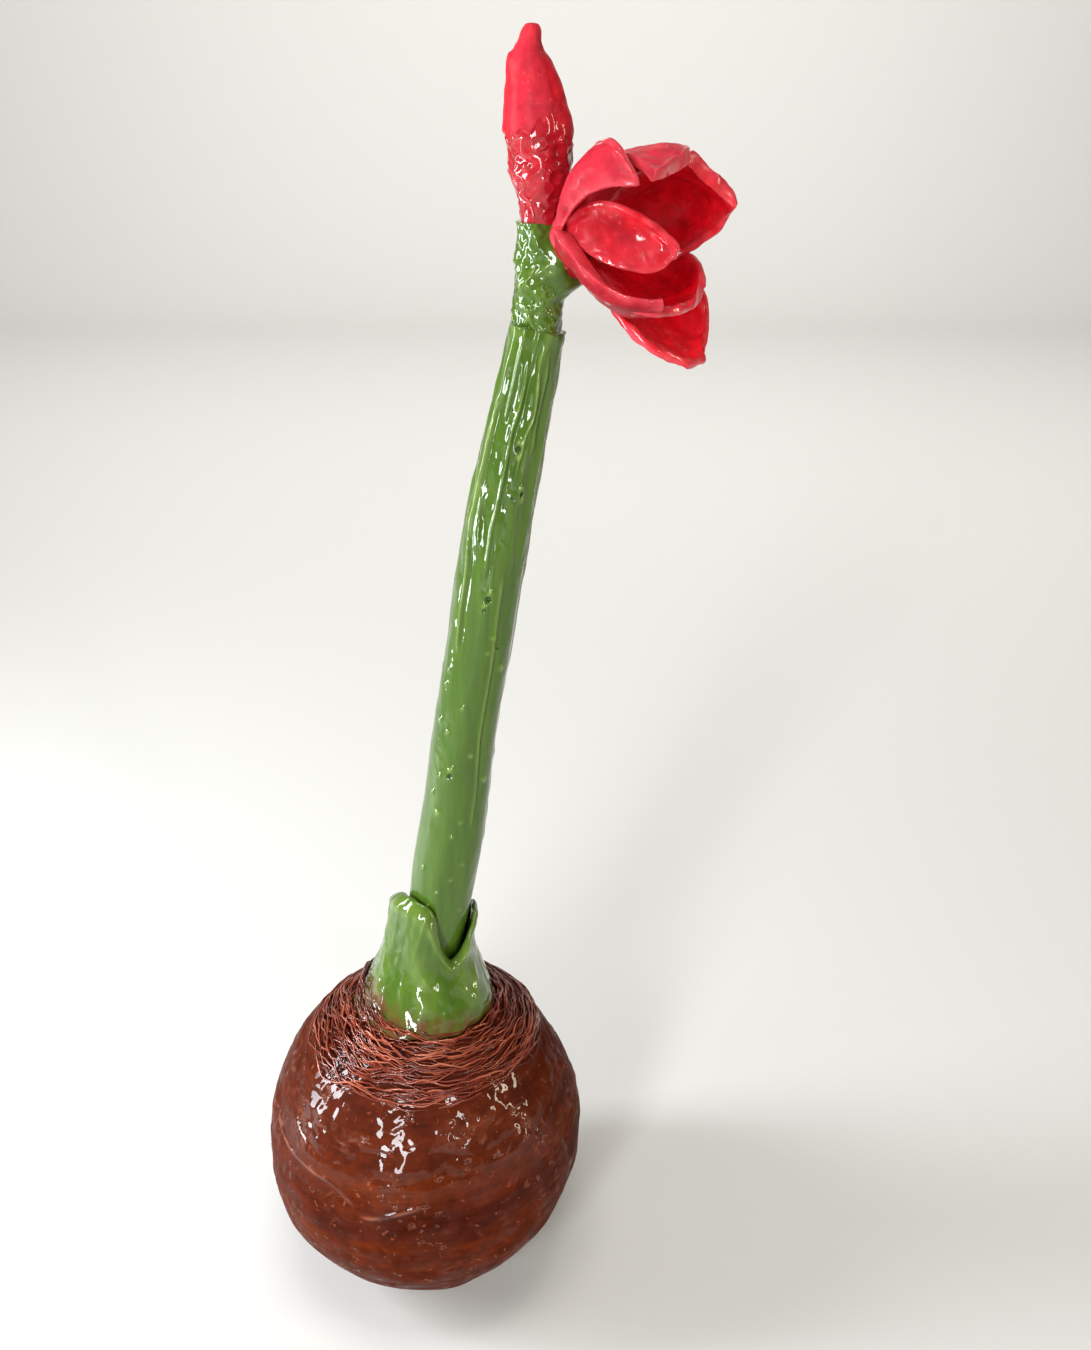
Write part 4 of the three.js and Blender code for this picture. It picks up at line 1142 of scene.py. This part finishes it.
class BulbSettings(bpy.types.PropertyGroup):
    """Finish of the bulb."""
    relief: FloatProperty(name="Relief", description="Depth of the hand-made relief, 1 as modelled",
                          default=1.0, min=0.0, max=1.5, subtype="FACTOR")
    glaze: colour("Glaze", "Brown glaze at its common thickness", "#4b1a09")
    glaze_thick: colour("Thick glaze", "Dark band where the glaze lies thick", "#381008")
    glaze_thin: colour("Thin glaze", "Orange band where the glaze is thin", "#571f04")
    clay: colour("Clay", "Bare red clay in small specks", "#8c4a32")


class NeckSettings(bpy.types.PropertyGroup):
    """Fibrous neck of the bulb."""
    strands: IntProperty(name="Strands", description="Strands round the neck", default=320, min=20, max=340)
    loose_strands: IntProperty(name="Loose strands", description="Strands that leave the edge", default=34,
                               min=0, max=60)
    thickness: FloatProperty(name="Thickness", description="Mean radius of a strand in mm",
                             default=STRAND_RADIUS, min=0.2, max=0.8)
    fibre: colour("Fibre", "Brown of the strands", "#772d17")
    fibre_shade: colour("Dark fibre", "Strands that lie low", "#3c1108")
    fibre_highlight: colour("Copper fibre", "Copper on worn crests", "#ac5e44")


class LeafSettings(bpy.types.PropertyGroup):
    """Green of the stem, the head and the leaf collar."""
    green: colour("Green", "Leaf green", "#456016")
    green_dark: colour("Dark green", "Green between brush streaks", "#3b5616")
    green_light: colour("Pale green", "Yellow-green on crests", "#78903c")
    olive: colour("Olive", "Olive brown at the foot of the collar", "#5a3c1c")
    pit_shade: colour("Pits", "Dark in the pits", "#15190b")


class FlowerSettings(bpy.types.PropertyGroup):
    """Red of the bud and the petals."""
    red: colour("Red", "Warm red of the petals' outside", "#ac2432")
    crimson: colour("Crimson", "Deep red inside the flower", "#bf0412")
    coral: colour("Coral", "Pale red on the rims", "#d6434e")


class StageSettings(bpy.types.PropertyGroup):
    """Colour of the floor and power of the lights."""
    floor: colour("Floor", "Pale floor", "#d2d0cc")
    key: light_power("Key light", "Power of the window-like light in W", 30.0)
    fill: light_power("Fill light", "Power that the side lights take their shares of, in W", 10.0)
    overhead: light_power("Overhead light", "Power of the overhead light in W", 11.0)
    backdrop: light_power("Backdrop light", "Power of the backdrop's light in W", 24.0)


def finish_piece(piece, material, slot, *replaced):
    """Gives a piece its material, makes it ride on the root body and stand for CAD nodes."""
    piece.data.materials.append(material)
    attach(piece, "root")
    if replaced:
        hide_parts(*replaced)


class AMARYLLIS_OT_bulb(bpy.types.Operator):
    """Builds the bulb's body with its brown glaze"""
    bl_idname = "amaryllis.bulb"
    bl_label = "Bulb"

    def execute(self, context):
        settings = context.scene.amaryllis_bulb
        finish_piece(build_bulb(settings), brown_glaze(settings), "bulb_brown", "bulb")
        return {"FINISHED"}


class AMARYLLIS_OT_neck(bpy.types.Operator):
    """Builds the strands of the fibrous neck"""
    bl_idname = "amaryllis.neck"
    bl_label = "Fibrous neck"

    def execute(self, context):
        settings = context.scene.amaryllis_neck
        material = fibre_glaze(settings)
        finish_piece(build_fibres("neck_strands", neck_strands(settings)), material, "bulb_brown")
        finish_piece(build_fibres("loose_strands", loose_strands(settings)), material, "bulb_brown")
        return {"FINISHED"}


class AMARYLLIS_OT_green_parts(bpy.types.Operator):
    """Builds the leaf collar, the stem and the head"""
    bl_idname = "amaryllis.green_parts"
    bl_label = "Collar, stem and head"

    def execute(self, context):
        material = green_glaze(context.scene.amaryllis_leaf)
        finish_piece(build_collar(), material, "stem_green", "leaf_collar")
        finish_piece(build_stem(), material, "stem_green", "stem")
        finish_piece(build_head(), material, "stem_green", "head")
        return {"FINISHED"}


class AMARYLLIS_OT_bud(bpy.types.Operator):
    """Builds the closed bud, satin above and glossy below"""
    bl_idname = "amaryllis.bud"
    bl_label = "Bud"

    def execute(self, context):
        finish_piece(build_bud(), red_glaze(context.scene.amaryllis_flower), "petal_red", "bud")
        return {"FINISHED"}


class AMARYLLIS_OT_flower(bpy.types.Operator):
    """Builds the open flower: its seat and seven petals"""
    bl_idname = "amaryllis.flower"
    bl_label = "Open flower"

    def execute(self, context):
        material = red_glaze(context.scene.amaryllis_flower)
        finish_piece(build_flower_seat(), material, "petal_red", "flower_seat")
        for k, (name, petal) in enumerate(PETALS.items()):
            leaf = build_petal(name + "_leaf", petal, PETAL_SEED + SEEDS_PER_PETAL * k)
            finish_piece(leaf, material, "petal_red", name)
        return {"FINISHED"}


class AMARYLLIS_OT_stage(bpy.types.Operator):
    """Sets the floor, the soft lights and the camera"""
    bl_idname = "amaryllis.stage"
    bl_label = "Stage"

    def execute(self, context):
        settings = context.scene.amaryllis_stage
        set_floor(settings)
        set_lights(settings)
        set_camera()
        return {"FINISHED"}


class AMARYLLIS_PT_figure(bpy.types.Panel):
    """Lists the steps that build the figure"""
    bl_idname = "AMARYLLIS_PT_figure"
    bl_label = "Glazed amaryllis"
    bl_space_type = "VIEW_3D"
    bl_region_type = "UI"
    bl_category = "Amaryllis"

    def draw(self, context):
        for step in STEPS:
            self.layout.operator(step.bl_idname, text=step.bl_label)
        for name in SETTINGS:
            group = getattr(context.scene, name)
            box = self.layout.box()
            for key in group.__annotations__:
                box.prop(group, key)


def set_floor(settings):
    """Floor that sweeps up behind the figure: flat, a quarter circle of 0.5 m, then upright."""
    bend = np.linspace(0, math.pi / 2, 25)
    depth = np.concatenate([[-3.0], 1.6 + 0.5 * np.sin(bend), [2.1]])
    height = np.concatenate([[0.0], 0.5 - 0.5 * np.cos(bend), [3.0]])
    left = np.stack([np.full(len(depth), -3.0), depth, height], -1)
    here = np.arange(len(depth) - 1)
    quads = np.stack([here, here + len(depth), here + len(depth) + 1, here + 1], -1)
    mesh = bpy.data.meshes.new("studio_floor")
    mesh.from_pydata(np.concatenate([left, left * (-1, 1, 1)]).tolist(), [], quads.tolist())
    mesh.polygons.foreach_set("use_smooth", np.ones(len(quads), bool))
    floor = bpy.data.objects.new("studio_floor", mesh)
    bpy.context.scene.collection.objects.link(floor)
    material, add, shader, place = surface("matt_paper", 0.0, 0.5, 0.9)
    grain = add("TexNoise", place, 900.0, 2.0)
    darker = [0.97 * c for c in settings.floor]
    fill(shader, {"Base Color": add("Mix", grain, settings.floor, darker, data_type="RGBA")})
    floor.data.materials.append(material)


def add_light(name, place, aim, size, watts, tint):
    """Rectangular area light at a place in metres, turned to face the point aim."""
    light = bpy.data.lights.new(name, "AREA")
    light.shape = "RECTANGLE"
    light.size, light.size_y = size
    light.energy = watts
    light.color = tint
    lamp = bpy.data.objects.new(name, light)
    place, aim = np.array(place), np.array(aim)
    back = (place - aim) / np.linalg.norm(place - aim)
    side = np.cross(UP, back)
    side /= np.linalg.norm(side)
    turned = np.eye(4)
    turned[:3, :4] = np.stack([side, np.cross(back, side), back, place], -1)
    lamp.matrix_world = turned.T.tolist()
    bpy.context.scene.collection.objects.link(lamp)


def set_lights(settings):
    """Soft studio light from the front, the sides and above, and a wash that lights only the backdrop."""
    middle = (0.02, 0.0, 0.2)
    add_light("key_window", (-0.53, -1.5, 0.62), middle, (0.25, 1.15), settings.key, (0.95, 0.98, 1.0))
    add_light("left_strip", (-0.55, -0.02, 0.33), (0.02, 0.0, 0.28), (0.14, 0.5), 0.65 * settings.fill,
              (0.9, 0.95, 1.0))
    add_light("right_strip", (1.5, -0.35, 0.5), middle, (0.1, 1.1), 0.8 * settings.fill, (1.0, 0.88, 0.66))
    add_light("small_window", (0.75, -1.25, 0.62), middle, (0.1, 0.5), 0.4 * settings.fill,
              (0.98, 0.98, 0.95))
    add_light("overhead_softbox", (0.0, -0.2, 1.7), middle, (0.7, 0.7), settings.overhead, (1.0, 0.99, 0.97))
    add_light("backdrop_wash", (0.0, 0.7, 1.3), (0.0, 2.1, 0.5), (1.6, 0.5), settings.backdrop,
              (1.0, 1.0, 1.0))
    world = bpy.data.worlds.new("studio_air")
    world.use_nodes = True
    fill(world.node_tree.nodes["Background"], {"Color": (1.0, 1.0, 1.0), "Strength": 0.1})
    bpy.context.scene.world = world


def set_camera():
    """Camera in front, at the height of the bud, that looks down on the figure."""
    camera = bpy.data.cameras.new("camera")
    camera.sensor_fit = "VERTICAL"
    camera.sensor_height = 36.0
    camera.lens = CAMERA_LENS
    camera.clip_start = 0.01
    viewer = bpy.data.objects.new("camera", camera)
    viewer.location = CAMERA_PLACE
    viewer.rotation_euler = (math.radians(90 - CAMERA_DOWN), 0.0, 0.0)
    scene = bpy.context.scene
    scene.collection.objects.link(viewer)
    scene.camera = viewer
    scene.view_settings.view_transform = "Standard"


STEPS = (
    AMARYLLIS_OT_stage, AMARYLLIS_OT_bulb, AMARYLLIS_OT_neck, AMARYLLIS_OT_green_parts, AMARYLLIS_OT_bud,
    AMARYLLIS_OT_flower,
)
SETTINGS = {
    "amaryllis_bulb": BulbSettings, "amaryllis_neck": NeckSettings, "amaryllis_leaf": LeafSettings,
    "amaryllis_flower": FlowerSettings, "amaryllis_stage": StageSettings,
}


def register():
    """Registers the settings, the operators and the panel."""
    for name, group in SETTINGS.items():
        bpy.utils.register_class(group)
        setattr(bpy.types.Scene, name, PointerProperty(type=group))
    for step in (*STEPS, AMARYLLIS_PT_figure):
        bpy.utils.register_class(step)


def unregister():
    """Takes away what register added."""
    for step in (AMARYLLIS_PT_figure, *reversed(STEPS)):
        bpy.utils.unregister_class(step)
    for name, group in SETTINGS.items():
        delattr(bpy.types.Scene, name)
        bpy.utils.unregister_class(group)


def main():
    register()
    bpy.ops.amaryllis.stage()
    bpy.ops.amaryllis.bulb()
    bpy.ops.amaryllis.neck()
    bpy.ops.amaryllis.green_parts()
    bpy.ops.amaryllis.bud()
    bpy.ops.amaryllis.flower()


if __name__ == "__main__":
    main()
